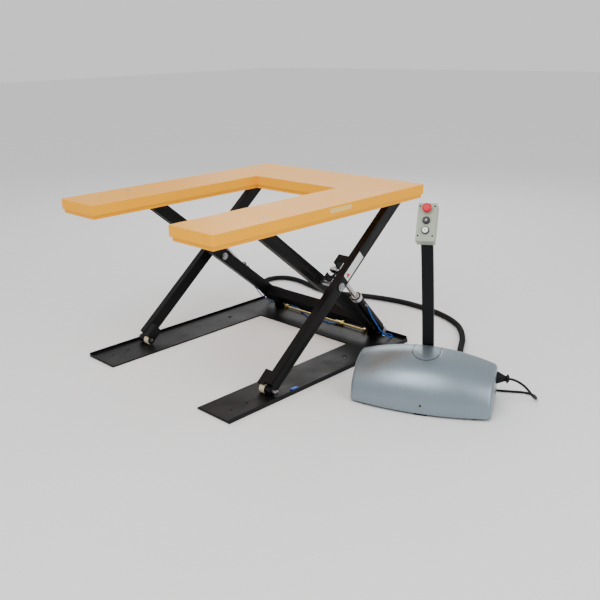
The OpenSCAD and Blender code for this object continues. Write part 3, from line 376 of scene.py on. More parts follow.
def grained(name, colour, gloss, scale, bump, dust, tone, coat=0.0, shine=0.3, metallic=0.0, fleck=0.0,
            depth=0.0003, coat_rough=0.03):
    material, tree, shader = start_material(name)
    peel = group_node(material, paint_peel)
    set_inputs(peel, {"Peel Scale": scale, "Gloss Low": gloss[0], "Gloss High": gloss[1], "Tone": tone})
    shade = mix_colour(tree, 1.0, (*colour, 1), peel.outputs["Shade"], "MULTIPLY")
    if fleck:
        flakes = object_noise(tree, FLAKE_SCALE, 1, 0.4)
        flake_share = map_range(tree, flakes.outputs["Fac"], 0.5, 0.72, 0.0, fleck)
        shade = mix_colour(tree, flake_share, shade, (0.95, 0.97, 1.0, 1))
    dusty = group_node(material, top_dust)
    dusty.inputs["Amount"].default_value = dust
    tree.links.new(shade, dusty.inputs["Colour"])
    tree.links.new(peel.outputs["Roughness"], dusty.inputs["Roughness"])
    tree.links.new(dusty.outputs["Colour"], shader.inputs["Base Color"])
    tree.links.new(dusty.outputs["Roughness"], shader.inputs["Roughness"])
    set_inputs(shader, {"Metallic": metallic, "Coat Weight": coat, "Coat Roughness": coat_rough,
                        "Specular IOR Level": shine})
    tree.links.new(bump_node(material, peel.outputs["Height"], bump, depth), shader.inputs["Normal"])
    return material


def sprayed_paint(name, colour, gloss, tone, dust, scale=420, **more):
    return grained(name, colour, gloss, scale, 0.12, dust, tone, depth=0.0004, coat_rough=0.2, **more)


def moulded(name, colour, gloss, scale, bump, dust, tone=0.08, **more):
    return grained(name, colour, gloss, scale, bump, dust, tone, **more)


# %% [markdown]
# Bare metal takes its colour from the alloy or the plating, darkened where the stains lie.


# %% Recipe for bare metal
def bare_metal(name, colour, rough, stain_colour, stain=0.2, grain=60, stretch=14, bump=0.1):
    material, tree, shader = start_material(name)
    scuff = group_node(material, metal_scuff)
    set_inputs(scuff, {"Grain Scale": grain, "Stretch": stretch, "Rough Low": rough[0],
                       "Rough High": rough[1]})
    share = math_node(tree, "MULTIPLY", scuff.outputs["Stain"], stain)
    tree.links.new(mix_colour(tree, share, (*colour, 1), (*stain_colour, 1)), shader.inputs["Base Color"])
    tree.links.new(scuff.outputs["Roughness"], shader.inputs["Roughness"])
    shader.inputs["Metallic"].default_value = 1.0
    tree.links.new(bump_node(material, scuff.outputs["Height"], bump, 0.0003), shader.inputs["Normal"])
    return material


# %% [markdown]
# ## The finishes
# Each finish is one call: its colour, the range of its roughness, and then what sets it apart.

# %% The finishes themselves
DARK_GRIME = (0.05, 0.04, 0.03)
yellow_paint = sprayed_paint("platform_yellow", (0.95, 0.40, 0.0), (0.30, 0.42), 0.04, 0.01, shine=0.12)
black_paint = sprayed_paint("frame_black", (0.003, 0.003, 0.0035), (0.34, 0.52), 0.3, 0.01, shine=0.16)
post_paint = sprayed_paint("post_black", (0.003, 0.0035, 0.0045), (0.4, 0.5), 0.2, 0.01, shine=0.15)
cover_paint = sprayed_paint("cover_silver", (0.17, 0.23, 0.27), (0.30, 0.40), 0.08, 0.02, scale=600,
                            coat=0.1, metallic=0.75, fleck=0.35)
zinc_plate = bare_metal("zinc_plate", (0.34, 0.35, 0.37), (0.22, 0.42), DARK_GRIME, 0.5)
bright_zinc = bare_metal("bright_zinc", (0.72, 0.73, 0.75), (0.34, 0.5), DARK_GRIME, 0.1)
rod_chrome = bare_metal("rod_chrome", (0.55, 0.56, 0.58), (0.06, 0.14), DARK_GRIME, 0.05,
                        grain=90, stretch=3, bump=0.02)
yellow_zinc = bare_metal("yellow_zinc", (0.62, 0.47, 0.17), (0.24, 0.42), DARK_GRIME, 0.25)
cast_aluminium = bare_metal("cast_aluminium", (0.38, 0.40, 0.42), (0.45, 0.65), DARK_GRIME, 0.3,
                            grain=160, stretch=1, bump=0.5)
roller_nylon = moulded("roller_nylon", (0.72, 0.63, 0.42), (0.38, 0.55), 500, 0.1, 0.1, 0.15)
black_rubber = moulded("black_rubber", (0.004, 0.004, 0.005), (0.42, 0.6), 800, 0.2, 0.02, shine=0.15)
hose_rubber = moulded("hose_rubber", (0.004, 0.0045, 0.005), (0.3, 0.44), 700, 0.12, 0.02, shine=0.2)
box_plastic = moulded("box_plastic", (0.33, 0.37, 0.29), (0.38, 0.5), 1100, 0.12, 0.03, 0.05)
black_plastic = moulded("black_plastic", (0.003, 0.003, 0.004), (0.2, 0.3), 1100, 0.05, 0.01, 0.05)
white_plastic = moulded("white_plastic", (0.80, 0.81, 0.79), (0.2, 0.3), 1100, 0.05, 0.03, 0.05, coat=0.3)
red_plastic = moulded("red_plastic", (0.55, 0.002, 0.018), (0.25, 0.36), 1100, 0.05, 0.01, 0.05)
blue_tube = moulded("blue_tube", (0.005, 0.09, 0.45), (0.2, 0.3), 900, 0.04, 0.01, 0.05)
label_film = moulded("label_film", (0.72, 0.74, 0.74), (0.25, 0.35), 1500, 0.03, 0.03, 0.08)
label_red = moulded("label_red", (0.50, 0.002, 0.018), (0.25, 0.35), 1500, 0.03, 0.02, 0.05)
label_pale = moulded("label_pale", (0.86, 0.56, 0.16), (0.25, 0.35), 1500, 0.03, 0.03, 0.05)
print("finishes:", len([m for m in bpy.data.materials if m.use_nodes]))


# %% [markdown]
# ## Helpers for new pieces
# A piece starts as a primitive in a flat local frame, is shaped there, and is then carried into
# place with its place applied to its mesh, so that its object stays at the origin. Each piece
# tells its name and the body that carries it when it is handed over.


# %% Place, paint and hand over a piece
def activate(piece):
    bpy.ops.object.select_all(action="DESELECT")
    piece.select_set(True)
    bpy.context.view_layer.objects.active = piece


def smooth(piece, angle=35):
    activate(piece)
    bpy.ops.object.shade_smooth_by_angle(angle=math.radians(angle))


def settle(piece, matrix=None):
    """Carries a piece from its local frame into the table's and applies the place."""
    activate(piece)
    if matrix is not None:
        piece.matrix_world = matrix @ piece.matrix_world
    bpy.ops.object.transform_apply(location=True, rotation=True, scale=True)
    return piece


def hand_over(piece, name, body, material, stands_for=()):
    piece.name = name
    piece.data.name = name
    if material is not None:
        piece.data.materials.clear()
        piece.data.materials.append(material)
    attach(piece, body)
    if stands_for:
        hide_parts(*stands_for)
    print(name, "rides on", body)
    return piece


# %% [markdown]
# Most small pieces are a block or a disc with soft edges, or several of them joined.


# %% Blocks, discs and soft edges
def bevel_edges(piece, width, segments=3, angle=30):
    modifier = piece.modifiers.new("soft_edges", "BEVEL")
    modifier.width = width
    modifier.segments = segments
    modifier.limit_method = "ANGLE"
    modifier.angle_limit = math.radians(angle)
    bpy.context.view_layer.objects.active = piece
    bpy.ops.object.modifier_apply(modifier=modifier.name)
    return piece


def block(size, centre, bevel=0.0, segments=3):
    bpy.ops.mesh.primitive_cube_add(size=1, location=centre)
    piece = bpy.context.object
    piece.scale = size
    bpy.ops.object.transform_apply(location=True, rotation=True, scale=True)
    if bevel:
        bevel_edges(piece, bevel, segments)
    return piece


def disc(radius, depth, centre, axis="Z", bevel=0.0, vertices=48, segments=2):
    turn = {"X": (0, math.pi / 2, 0), "Y": (math.pi / 2, 0, 0), "Z": (0, 0, 0)}[axis]
    bpy.ops.mesh.primitive_cylinder_add(vertices=vertices, radius=radius, depth=depth,
                                        location=centre, rotation=turn)
    piece = bpy.context.object
    bpy.ops.object.transform_apply(location=True, rotation=True, scale=True)
    if bevel:
        bevel_edges(piece, bevel, segments)
    return piece


def join(pieces):
    bpy.ops.object.select_all(action="DESELECT")
    for piece in pieces:
        piece.select_set(True)
    bpy.context.view_layer.objects.active = pieces[0]
    if len(pieces) > 1:
        bpy.ops.object.join()
    return bpy.context.object


# %% [markdown]
# A hose or a tube is a round section swept along a smooth curve. Its rings are carried along
# without twist, which no operator does for a section of changing radius, so the mesh is computed.


# %% Sweep a round section along a route
def along_spline(points, steps):
    """Points of a smooth curve through the given ones."""
    p = [Vector(q) for q in points]
    curve = []
    for i in range(len(p) - 1):
        a, b, c, d = p[max(i - 1, 0)], p[i], p[i + 1], p[min(i + 2, len(p) - 1)]
        for k in range(steps):
            t = k / steps
            curve.append(b + 0.5 * ((c - a) * t + (2 * a - 5 * b + 4 * c - d) * t * t
                                    + (3 * b - a - 3 * c + d) * t ** 3))
    return curve + [p[-1]]


def resample(curve, spacing):
    """The same curve as points at an even spacing."""
    co = np.array([tuple(q) for q in curve])
    run = np.concatenate([[0], np.cumsum(np.linalg.norm(np.diff(co, axis=0), axis=1))])
    count = max(2, round(run[-1] / spacing))
    at = np.linspace(0, run[-1], count + 1)
    return np.stack([np.interp(at, run, co[:, k]) for k in range(3)], axis=1), run[-1]


def sweep(name, centres, radii, sides=16):
    """A closed tube: one ring of vertices at each centre, with its own radius."""
    tangents = np.gradient(centres, axis=0)
    tangents /= np.linalg.norm(tangents, axis=1)[:, None]
    side = np.cross(tangents[0], [0.0, 0.0, 1.0])
    if np.linalg.norm(side) < 0.1:
        side = np.array([1.0, 0.0, 0.0])
    turns = 2 * math.pi * np.arange(sides) / sides
    rings = []
    for centre, tangent, radius in zip(centres, tangents, radii):
        side = side - tangent * (side @ tangent)
        side /= np.linalg.norm(side)
        other = np.cross(tangent, side)
        rings.append(centre + radius * (np.outer(np.cos(turns), side) + np.outer(np.sin(turns), other)))
    vertices = np.concatenate(rings)
    faces = []
    for i in range(len(centres) - 1):
        for k in range(sides):
            n = (k + 1) % sides
            faces.append((i * sides + k, i * sides + n, (i + 1) * sides + n, (i + 1) * sides + k))
    faces.append(tuple(range(sides))[::-1])
    last = (len(centres) - 1) * sides
    faces.append(tuple(last + k for k in range(sides)))
    mesh = bpy.data.meshes.new(name)
    mesh.from_pydata(vertices.tolist(), [], faces)
    piece = bpy.data.objects.new(name, mesh)
    bpy.context.scene.collection.objects.link(piece)
    activate(piece)
    bpy.ops.object.mode_set(mode="EDIT")
    bpy.ops.mesh.select_all(action="SELECT")
    bpy.ops.mesh.normals_make_consistent(inside=False)
    bpy.ops.object.mode_set(mode="OBJECT")
    smooth(piece, 50)
    return piece


# %% [markdown]
# ## The floor hose
# A ribbed protective hose carries the oil line from the power unit's back to the closed end of
# the table. It lies on the floor in one long S and is too stiff to bend much tighter than a hand's
# width. Its ribs are real geometry: the swept radius rises and falls every few millimetres.

# %% Route and ribs of the hose
HOSE_RADIUS = 0.016
HOSE_REST = HOSE_RADIUS + 0.0005
HOSE_GAP = 0.0003
RIB_PITCH = 0.0052
RIB_DEPTH = 0.0013
RINGS_PER_RIB = 4
ROUTE_STEPS = 12

HOSE_STRAIGHT = 0.005
HOSE_EXIT = Vector((0.100, 0.320 + HOSE_GAP, 0.070))
HOSE_END = Vector((0.0823, 0.470, HOSE_REST))
hose_exit = unit_frame @ HOSE_EXIT
hose_start = [unit_frame @ Vector(p) for p in (
    (0.100, HOSE_EXIT.y + HOSE_STRAIGHT, 0.070), (0.100, 0.350, 0.070), (0.100, 0.400, 0.064),
    (0.100, 0.460, 0.049))]
hose_floor = [
    (0.136, -0.824), (0.232, -0.774), (0.322, -0.714), (0.400, -0.645), (0.458, -0.564),
    (0.498, -0.475), (0.524, -0.380), (0.537, -0.280), (0.538, -0.180), (0.523, -0.075),
    (0.492, 0.035), (0.452, 0.130), (0.410, 0.215), (0.384, 0.305), (0.387, 0.400),
    (0.410, 0.495), (0.431, 0.585), (0.438, 0.672), (0.422, 0.731), (0.379, 0.774),
    (0.320, 0.790), (0.261, 0.774), (0.218, 0.731), (0.202, 0.672), (0.202, 0.621),
    (0.202, 0.570), (0.189, 0.520), (0.152, 0.483),
    (HOSE_END.x + 0.020 + HOSE_STRAIGHT, HOSE_END.y), (HOSE_END.x + HOSE_STRAIGHT, HOSE_END.y)]
hose_points = (hose_start + [Vector((-0.084, -0.938, 0.032)), Vector((0.020, -0.886, 0.020))]
               + [Vector((x, y, HOSE_REST)) for x, y in hose_floor])
hose_curve = [hose_exit] + along_spline(hose_points, ROUTE_STEPS) + [HOSE_END]
hose_line, hose_length = resample(hose_curve, RIB_PITCH / RINGS_PER_RIB)
rib_wave = 0.5 - 0.5 * np.cos(2 * math.pi * np.arange(len(hose_line)) / RINGS_PER_RIB)
floor_hose = sweep("floor_hose", hose_line, HOSE_RADIUS - RIB_DEPTH * rib_wave, 20)
hand_over(floor_hose, "floor_hose", "base", hose_rubber, ["conduit_hose"])
print("hose length", round(hose_length, 3), "m")

# %% [markdown]
# ## The mains lead, its coil and its plug
# The lead leaves the cover through a tapered strain relief, drops to the floor, passes under the
# hose and ends in a coil of two layers with three turns each, put away behind the power unit. The
# first layer winds in and the second winds out, so each turn lies beside or on the one before.

# %% Route of the mains lead
LEAD_RADIUS = 0.0055
LEAD_REST = LEAD_RADIUS + 0.0005
COIL_CENTRE = Vector((-0.060, 0.395))
COIL_INNER = 0.042
COIL_TURNS = 3
COIL_EASE = 0.003
coil_outer = COIL_INNER + COIL_TURNS * 2 * LEAD_RADIUS
turn_y = COIL_CENTRE.y - coil_outer
TANGENT_X = 0.046
PLUG_RADIUS = 0.029
PLUG_LEAD_RADIUS = 0.050
plug_height = 4 * LEAD_RADIUS + 0.0005 + PLUG_RADIUS
plug_rear = Vector((COIL_CENTRE.x - TANGENT_X, turn_y + 2 * PLUG_LEAD_RADIUS, plug_height))

lead_points = [
    (0.366, 0.205, 0.122), (0.380, 0.2055, 0.121), (0.402, 0.208, 0.113), (0.428, 0.214, 0.095),
    (0.449, 0.225, 0.070), (0.466, 0.240, 0.043), (0.479, 0.260, 0.021),
    (0.485, 0.284, LEAD_REST + 0.003), (0.481, 0.309, LEAD_REST), (0.465, 0.328, LEAD_REST),
    (0.441, 0.337, LEAD_REST), (0.412, 0.337, LEAD_REST), (0.370, 0.330, LEAD_REST),
    (0.320, 0.323, LEAD_REST), (0.270, turn_y, LEAD_REST), (0.200, turn_y, LEAD_REST),
    (0.130, turn_y, LEAD_REST), (0.060, turn_y, LEAD_REST),
    (COIL_CENTRE.x + TANGENT_X, turn_y, LEAD_REST)]


def ease(share):
    return share * share * (3 - 2 * share)


def coil_point(turn):
    """A point of the coil, turn counted from 0 to twice the turns of a layer."""
    from_middle = turn - COIL_TURNS
    radius = COIL_INNER + 2 * LEAD_RADIUS * math.sqrt(from_middle ** 2 + COIL_EASE)
    climb = min(max(0.5 + from_middle / 0.5, 0), 1)
    height = LEAD_REST + 2 * LEAD_RADIUS * ease(climb)
    angle = -math.pi / 2 - 2 * math.pi * turn
    return (COIL_CENTRE.x + radius * math.cos(angle), COIL_CENTRE.y + radius * math.sin(angle), height)


STEPS_PER_TURN = 48
LAST_STEPS = 16
PLUG_SET_BACK = 0.010
coil_points = [coil_point(k / STEPS_PER_TURN) for k in range(2 * COIL_TURNS * STEPS_PER_TURN + 1)]
last_height = coil_points[-1][2]
turn_back = []
for k in range(LAST_STEPS + 1):
    share = k / LAST_STEPS
    angle = -math.pi / 2 - math.pi * share
    turn_back.append((plug_rear.x - PLUG_SET_BACK + PLUG_LEAD_RADIUS * math.cos(angle),
                      turn_y + PLUG_LEAD_RADIUS + PLUG_LEAD_RADIUS * math.sin(angle),
                      last_height + (plug_height - last_height) * ease(share)))
free_part = along_spline(lead_points, ROUTE_STEPS)
lead_curve = [unit_frame @ Vector(p) for p in (*free_part, *coil_points, *turn_back, plug_rear)]
lead_line, lead_length = resample(lead_curve, 0.004)
mains_lead = sweep("mains_lead", lead_line, np.full(len(lead_line), LEAD_RADIUS), 14)
hand_over(mains_lead, "mains_lead", "base", black_rubber, ["mains_cord", "cord_coil"])
print("mains lead", round(lead_length, 3), "m")

# %% [markdown]
# The plug is an industrial one: a round shell with grip ribs, a collar nut, a cable clamp and
# round pins. A cylinder is shaped ring by ring with extrude and resize, as on a lathe.


# %% Plug
def lathe_piece(profile, vertices=64):
    """Extrudes a disc along +X through (x, radius) rings."""
    bpy.ops.object.select_all(action="DESELECT")
    x0, r0 = profile[0]
    bpy.ops.mesh.primitive_circle_add(vertices=vertices, radius=r0, fill_type="NGON",
                                      location=(x0, 0, 0), rotation=(0, math.pi / 2, 0))
    piece = bpy.context.object
    bpy.ops.object.transform_apply(location=True, rotation=True, scale=True)
    bpy.ops.object.mode_set(mode="EDIT")
    bpy.ops.mesh.select_all(action="SELECT")
    radius = r0
    for (x_before, _), (x, r) in zip(profile, profile[1:]):
        bpy.ops.mesh.extrude_region_move(TRANSFORM_OT_translate={"value": (x - x_before, 0, 0)})
        bpy.ops.transform.resize(value=(1, r / radius, r / radius), center_override=(x, 0, 0))
        radius = r
    bpy.ops.mesh.select_all(action="SELECT")
    bpy.ops.mesh.normals_make_consistent(inside=False)
    bpy.ops.object.mode_set(mode="OBJECT")
    return piece


plug_profile = [(0.0, 0.0068), (0.003, 0.012), (0.018, 0.014), (0.020, 0.019), (0.023, 0.021),
                (0.044, 0.0215), (0.047, 0.020), (0.048, 0.0245), (0.052, 0.0265), (0.086, 0.0275),
                (0.088, 0.029), (0.108, 0.029), (0.110, 0.0275), (0.110, 0.0255), (0.104, 0.0245)]
GRIP_RIBS = 14
PLUG_PINS = 4
PIN_CIRCLE = 0.015
plug_parts = [lathe_piece(plug_profile)]
for k in range(GRIP_RIBS):
    rib = block((0.030, 0.0022, 0.0016), (0.069, 0, 0.0272), 0.0005, 2)
    rib.matrix_world = Matrix.Rotation(2 * math.pi * k / GRIP_RIBS, 4, "X")
    plug_parts.append(settle(rib))
for piece in plug_parts:
    piece.data.materials.append(red_plastic)
for k in range(PLUG_PINS):
    angle = 2 * math.pi * (k + 0.5) / PLUG_PINS
    centre = (0.118, PIN_CIRCLE * math.cos(angle), PIN_CIRCLE * math.sin(angle))
    pin = disc(0.003, 0.024, centre, "X", 0.0006, 20)
    pin.data.materials.append(zinc_plate)
    plug_parts.append(pin)
plug = join(plug_parts)
smooth(plug, 40)
settle(plug, unit_frame @ Matrix.Translation(plug_rear))
hand_over(plug, "mains_plug_shell", "base", None, ["mains_plug"])

# %% [markdown]
# A flat strap holds the coil: an open box section with a thin wall and a loose tail on top.

# %% Tie round the coil
TIE_ANGLE = math.radians(40)
TIE_ROOM = 0.0010
tie_radius = COIL_INNER + COIL_TURNS * LEAD_RADIUS
bundle_half = (COIL_TURNS + 1) * LEAD_RADIUS
bundle_top = 4 * LEAD_RADIUS + 0.0005
tie_outer = block((2 * bundle_half + 0.0024, 0.018, bundle_top + TIE_ROOM),
                  (tie_radius, 0, (bundle_top + TIE_ROOM) / 2 + 0.0001), 0.004, 4)
activate(tie_outer)
bpy.ops.object.mode_set(mode="EDIT")
bpy.ops.mesh.select_all(action="DESELECT")
bpy.ops.object.mode_set(mode="OBJECT")
for face in tie_outer.data.polygons:
    face.select = abs(face.normal.y) > 0.99
bpy.ops.object.mode_set(mode="EDIT")
bpy.ops.mesh.delete(type="FACE")
bpy.ops.object.mode_set(mode="OBJECT")
tie_wall = tie_outer.modifiers.new("wall", "SOLIDIFY")
tie_wall.thickness = 0.0011
tie_wall.offset = -1
bpy.context.view_layer.objects.active = tie_outer
bpy.ops.object.modifier_apply(modifier=tie_wall.name)
tie_tail = block((0.024, 0.016, 0.0012), (tie_radius + 0.006, 0, bundle_top + 0.0018), 0.0004, 2)
tie = join([tie_outer, tie_tail])
smooth(tie, 35)
settle(tie, unit_frame @ Matrix.Translation((COIL_CENTRE.x, COIL_CENTRE.y, 0))
       @ Matrix.Rotation(TIE_ANGLE, 4, "Z"))
hand_over(tie, "coil_tie", "base", black_rubber)

# %% [markdown]
# ## Soft edges for the CAD nodes
# Sawn and welded steel never has a perfectly sharp edge, and the thin highlight along it is what
# makes it read as metal. The CAD meshes are loose triangles, so a Weld modifier merges them and a
# Bevel modifier rounds only the real corners; the meshes themselves stay as they are.


# %% Finish the CAD nodes
WIDE_EDGE = 0.0025


def finish_node(name, material, edge, segments):
    node = nodes[name]
    node.data.materials.clear()
    node.data.materials.append(material)
    weld = node.modifiers.new("merge", "WELD")
    weld.merge_threshold = 0.00002
    bevel = node.modifiers.new("edges", "BEVEL")
    bevel.width = edge
    bevel.segments = segments
    bevel.limit_method = "ANGLE"
    bevel.angle_limit = math.radians(40)
    bevel.use_clamp_overlap = True
    flat = node.modifiers.new("flat_faces", "WEIGHTED_NORMAL")
    flat.weight = 100
    flat.keep_sharp = False
    smooth(node)


finishes = [
    (black_paint, 0.0012, ["near_rail", "far_rail", "cross_plate", "base_lugs", "top_lugs",
                           "rod_brackets"]),
    (black_paint, 0.0030, ["near_inner_leg", "far_inner_leg", "near_outer_leg", "far_outer_leg",
                           "torsion_beam"]),
    (black_paint, 0.0010, ["near_barrel", "far_barrel", "unit_tray"]),
    (post_paint, 0.0015, ["control_post"]),
    (yellow_paint, 0.0012, ["platform_deck", "platform_skirt", "safety_frame", "roller_tracks"]),
    (zinc_plate, 0.0010, ["base_pins", "top_pins", "centre_pins", "barrel_pins", "upper_axles",
                          "lower_axles", "lifting_bosses"]),
    (zinc_plate, 0.0006, ["oil_tank", "pump_housing", "valve_block", "motor_shaft", "driven_gear"]),
    (rod_chrome, 0.0008, ["near_rod", "far_rod"]),
    (yellow_zinc, 0.0008, ["pipe_fittings", "hydraulic_pipes"]),
    (roller_nylon, 0.0006, ["near_lower_roller", "far_lower_roller", "near_upper_roller",
                            "far_upper_roller"]),
    (black_rubber, 0.0008, ["unit_feet", "hose_glands", "mains_gland", "case_screws", "trip_switches"]),
    (cast_aluminium, 0.0004, ["motor_housing"]),
    (box_plastic, 0.0025, ["box_base", "box_lid"]),
    (box_plastic, 0.0010, ["contactor_box"]),
    (black_plastic, 0.0010, ["button_bezels", "contact_blocks", "up_button", "tank_breather"]),
    (white_plastic, 0.0012, ["down_button"]),
    (red_plastic, 0.0012, ["estop_button"]),
]
for material, edge, names in finishes:
    for node_name in names:
        finish_node(node_name, material, edge, 3 if edge >= WIDE_EDGE else 2)
print("CAD nodes finished:", sum(len(names) for _, _, names in finishes))

# %% [markdown]
# ## The power unit's cover
# The cover is one pressed shell: high and bulging in the middle, lower at the ends, with a round
# nose along its crest. Its sections are one family of superellipses, so the surface is computed
# on a fine grid and comes out smooth, where flat CAD facets would show in the reflections.

# %% Shape of the cover
UNIT_HALF = 0.311
UNIT_MIDDLE_HEIGHT = 0.235
UNIT_END_HEIGHT = 0.181
UNIT_BULGE = 0.045
UNIT_DEPTH = 0.290
UNIT_CREST = 0.200
UNIT_LIFT = 0.012
UNIT_WALL = 0.004
EDGE_ROUND = 0.016
SECTION_POWER = 2.2
CAP_RADIUS = 0.061
CAP_X = 0.003
CAP_FRONT = 0.145
CAP_BACK = 0.199


def superellipse(share):
    return max(share, 0.0) ** (2 / SECTION_POWER)


def cover_profile(x, inset=0.0):
    """The cover's height over its foot and the place of its front, at x."""
    rise = 1 - (x / UNIT_HALF) ** 2
    height = UNIT_END_HEIGHT + (UNIT_MIDDLE_HEIGHT - UNIT_END_HEIGHT) * rise - inset - UNIT_LIFT
    return height, inset - UNIT_BULGE * rise


def cover_section(x, inset, front_steps=44, back_steps=22):
    """Points of the cover's section at x, from its front foot over the crest to its back foot."""
    height, front = cover_profile(x, inset)
    back = UNIT_DEPTH - inset
    section = []
    for k in range(front_steps + 1):
        t = math.pi / 2 * k / front_steps
        section.append((x, UNIT_CREST - (UNIT_CREST - front) * superellipse(math.cos(t)),
                        UNIT_LIFT + height * superellipse(math.sin(t))))
    for k in range(1, back_steps + 1):
        t = math.pi / 2 * (1 - k / back_steps)
        section.append((x, UNIT_CREST + (back - UNIT_CREST) * superellipse(math.cos(t)),
                        UNIT_LIFT + height * superellipse(math.sin(t))))
    return section


ROUND_STEPS = 8
FLAT_STEPS = 48
stations = []
for k in range(ROUND_STEPS + 1):
    angle = math.pi / 2 * (1 - k / ROUND_STEPS)
    stations.append((-UNIT_HALF + EDGE_ROUND * (1 - math.sin(angle)),
                     EDGE_ROUND * (1 - math.cos(angle))))
flat_half = UNIT_HALF - EDGE_ROUND
stations += [(flat_half * (2 * k / FLAT_STEPS - 1), 0.0) for k in range(1, FLAT_STEPS)]
stations += [(-x, inset) for x, inset in stations[:ROUND_STEPS + 1]][::-1]
sections = [cover_section(x, inset) for x, inset in stations]
ring_size = len(sections[0])
cover_vertices = [p for section in sections for p in section]
cover_faces = []
for i in range(len(sections) - 1):
    for k in range(i * ring_size, (i + 1) * ring_size - 1):
        cover_faces.append((k, k + ring_size, k + ring_size + 1, k + 1))
cover_faces.append(tuple(range(ring_size)))
cover_faces.append(tuple((len(sections) - 1) * ring_size + k for k in range(ring_size))[::-1])
cover_mesh = bpy.data.meshes.new("cover_shell")
cover_mesh.from_pydata(cover_vertices, [], cover_faces)
cover = bpy.data.objects.new("cover_shell", cover_mesh)
bpy.context.scene.collection.objects.link(cover)
print("cover faces", len(cover_faces))


# %% [markdown]
# The cover is a thin wall with holes: a slot for the cap that closes it around the post, and round
# ones for the hose gland and the strain relief. Solidify gives the wall, and booleans with plain
# cutters make the holes. First come the helpers, then the wall.


# %% Wall of the cover
def apply_modifier(piece, kind, **settings):
    modifier = piece.modifiers.new(kind.lower(), kind)
    for key, value in settings.items():
        setattr(modifier, key, value)
    activate(piece)
    bpy.ops.object.modifier_apply(modifier=modifier.name)


def cut_with(piece, cutters, operation="DIFFERENCE"):
    for cutter in cutters:
        apply_modifier(piece, "BOOLEAN", object=cutter, operation=operation, solver="EXACT")
    for cutter in cutters:
        bpy.data.objects.remove(cutter)


def recalculate_normals(piece):
    activate(piece)
    bpy.ops.object.mode_set(mode="EDIT")
    bpy.ops.mesh.select_all(action="SELECT")
    bpy.ops.mesh.remove_doubles(threshold=0.00001)
    bpy.ops.mesh.normals_make_consistent(inside=False)
    bpy.ops.object.mode_set(mode="OBJECT")


recalculate_normals(cover)
if sum(f.normal.z * f.area for f in cover.data.polygons) < 0:
    cover.data.flip_normals()
apply_modifier(cover, "SOLIDIFY", thickness=UNIT_WALL, offset=-1, use_even_offset=True)
print("cover with its wall:", len(cover.data.polygons), "faces")

# %% [markdown]
# The cap is a copy of the same wall, cut to a slightly smaller slot with a hole for the post, so
# its surface runs on from the cover's.

# %% Cap and holes
CAP_GAP = 0.002
CUTTER_HEIGHT = 0.3
CUTTER_Z = 0.27
activate(cover)
bpy.ops.object.duplicate()
cap = bpy.context.object


def cap_cutter(radius):
    """A tall slot-shaped cutter: two cylinders and the block between them."""
    parts = [disc(radius, CUTTER_HEIGHT, (CAP_X, y, CUTTER_Z), "Z", 0, 96) for y in (CAP_FRONT, CAP_BACK)]
    between = block((2 * radius, CAP_BACK - CAP_FRONT, CUTTER_HEIGHT),
                    (CAP_X, (CAP_FRONT + CAP_BACK) / 2, CUTTER_Z))
    cut_with(between, parts, "UNION")
    return between


cut_with(cap, [cap_cutter(CAP_RADIUS)], "INTERSECT")
post_hole = block((0.056, 0.026, CUTTER_HEIGHT), (0.0, 0.2275, CUTTER_Z))
cut_with(cap, [post_hole])
cut_with(cover, [
    cap_cutter(CAP_RADIUS + CAP_GAP),
    disc(0.0142, 0.05, (0.311, 0.205, 0.122), "X"),
    disc(0.0222, 0.05, (0.100, 0.290, 0.070), "Y"),
])
for piece in (cover, cap):
    bevel_edges(piece, 0.0008, 2, 50)
    smooth(piece, 30)
    settle(piece, unit_frame)
hand_over(cover, "cover_shell", "base", cover_paint, ["unit_cover"])
hand_over(cap, "cover_cap", "base", cover_paint, ["post_cap"])

# %% [markdown]
# Dark seams fill the gap round the cap and mark where the rounded ends begin. They are thin tubes
# that follow the cover's own surface.


# %% Dark seams round the cap and along the rounded ends
def cover_point(x, y, proud):
    """The point of the cover's surface over (x, y)."""
    height, front = cover_profile(x)
    edge = front if y < UNIT_CREST else UNIT_DEPTH
    reach = (y - UNIT_CREST) / (edge - UNIT_CREST)
    t = math.acos(min(reach ** (SECTION_POWER / 2), 1.0))
    return Vector((x, y, UNIT_LIFT + height * superellipse(math.sin(t)) + proud))


SEAM_RADIUS = 0.0016
END_SEAM_RADIUS = 0.0009
SEAM_SINK = 0.0006
HALF_TURN_STEPS = 36
seam_circle = CAP_RADIUS + CAP_GAP / 2
seam_points = []
for centre_y, first, share in ((CAP_BACK, 0, 1), (CAP_FRONT, math.pi, 1), (CAP_BACK, 0, 0)):
    for k in range(HALF_TURN_STEPS * share + 1):
        angle = first + math.pi * k / HALF_TURN_STEPS
        seam_points.append(cover_point(CAP_X + seam_circle * math.cos(angle),
                                       centre_y + seam_circle * math.sin(angle), -SEAM_SINK))
seams = [resample(seam_points, 0.004)[0]]
for sign in (-1, 1):
    section = cover_section(sign * (UNIT_HALF - 0.012), 0.0016)
    seams.append(np.array(section[2:-2]))
seam_pieces = [sweep("seam", line, np.full(len(line), radius), 8)
               for line, radius in zip(seams, (SEAM_RADIUS, END_SEAM_RADIUS, END_SEAM_RADIUS))]
cover_seams = join(seam_pieces)
settle(cover_seams, unit_frame)
hand_over(cover_seams, "cover_seams", "base", black_rubber)

# %% [markdown]
# ## Small pieces on the machine
# Gland rings, blue drain tubes and plain labels are what the eye looks for up close. Each one
# rides on the body that carries it, so it moves with the scissors. The gland is three rings, each
# cut by itself and then joined: two round the barrel's end and a wiper close to the rod.

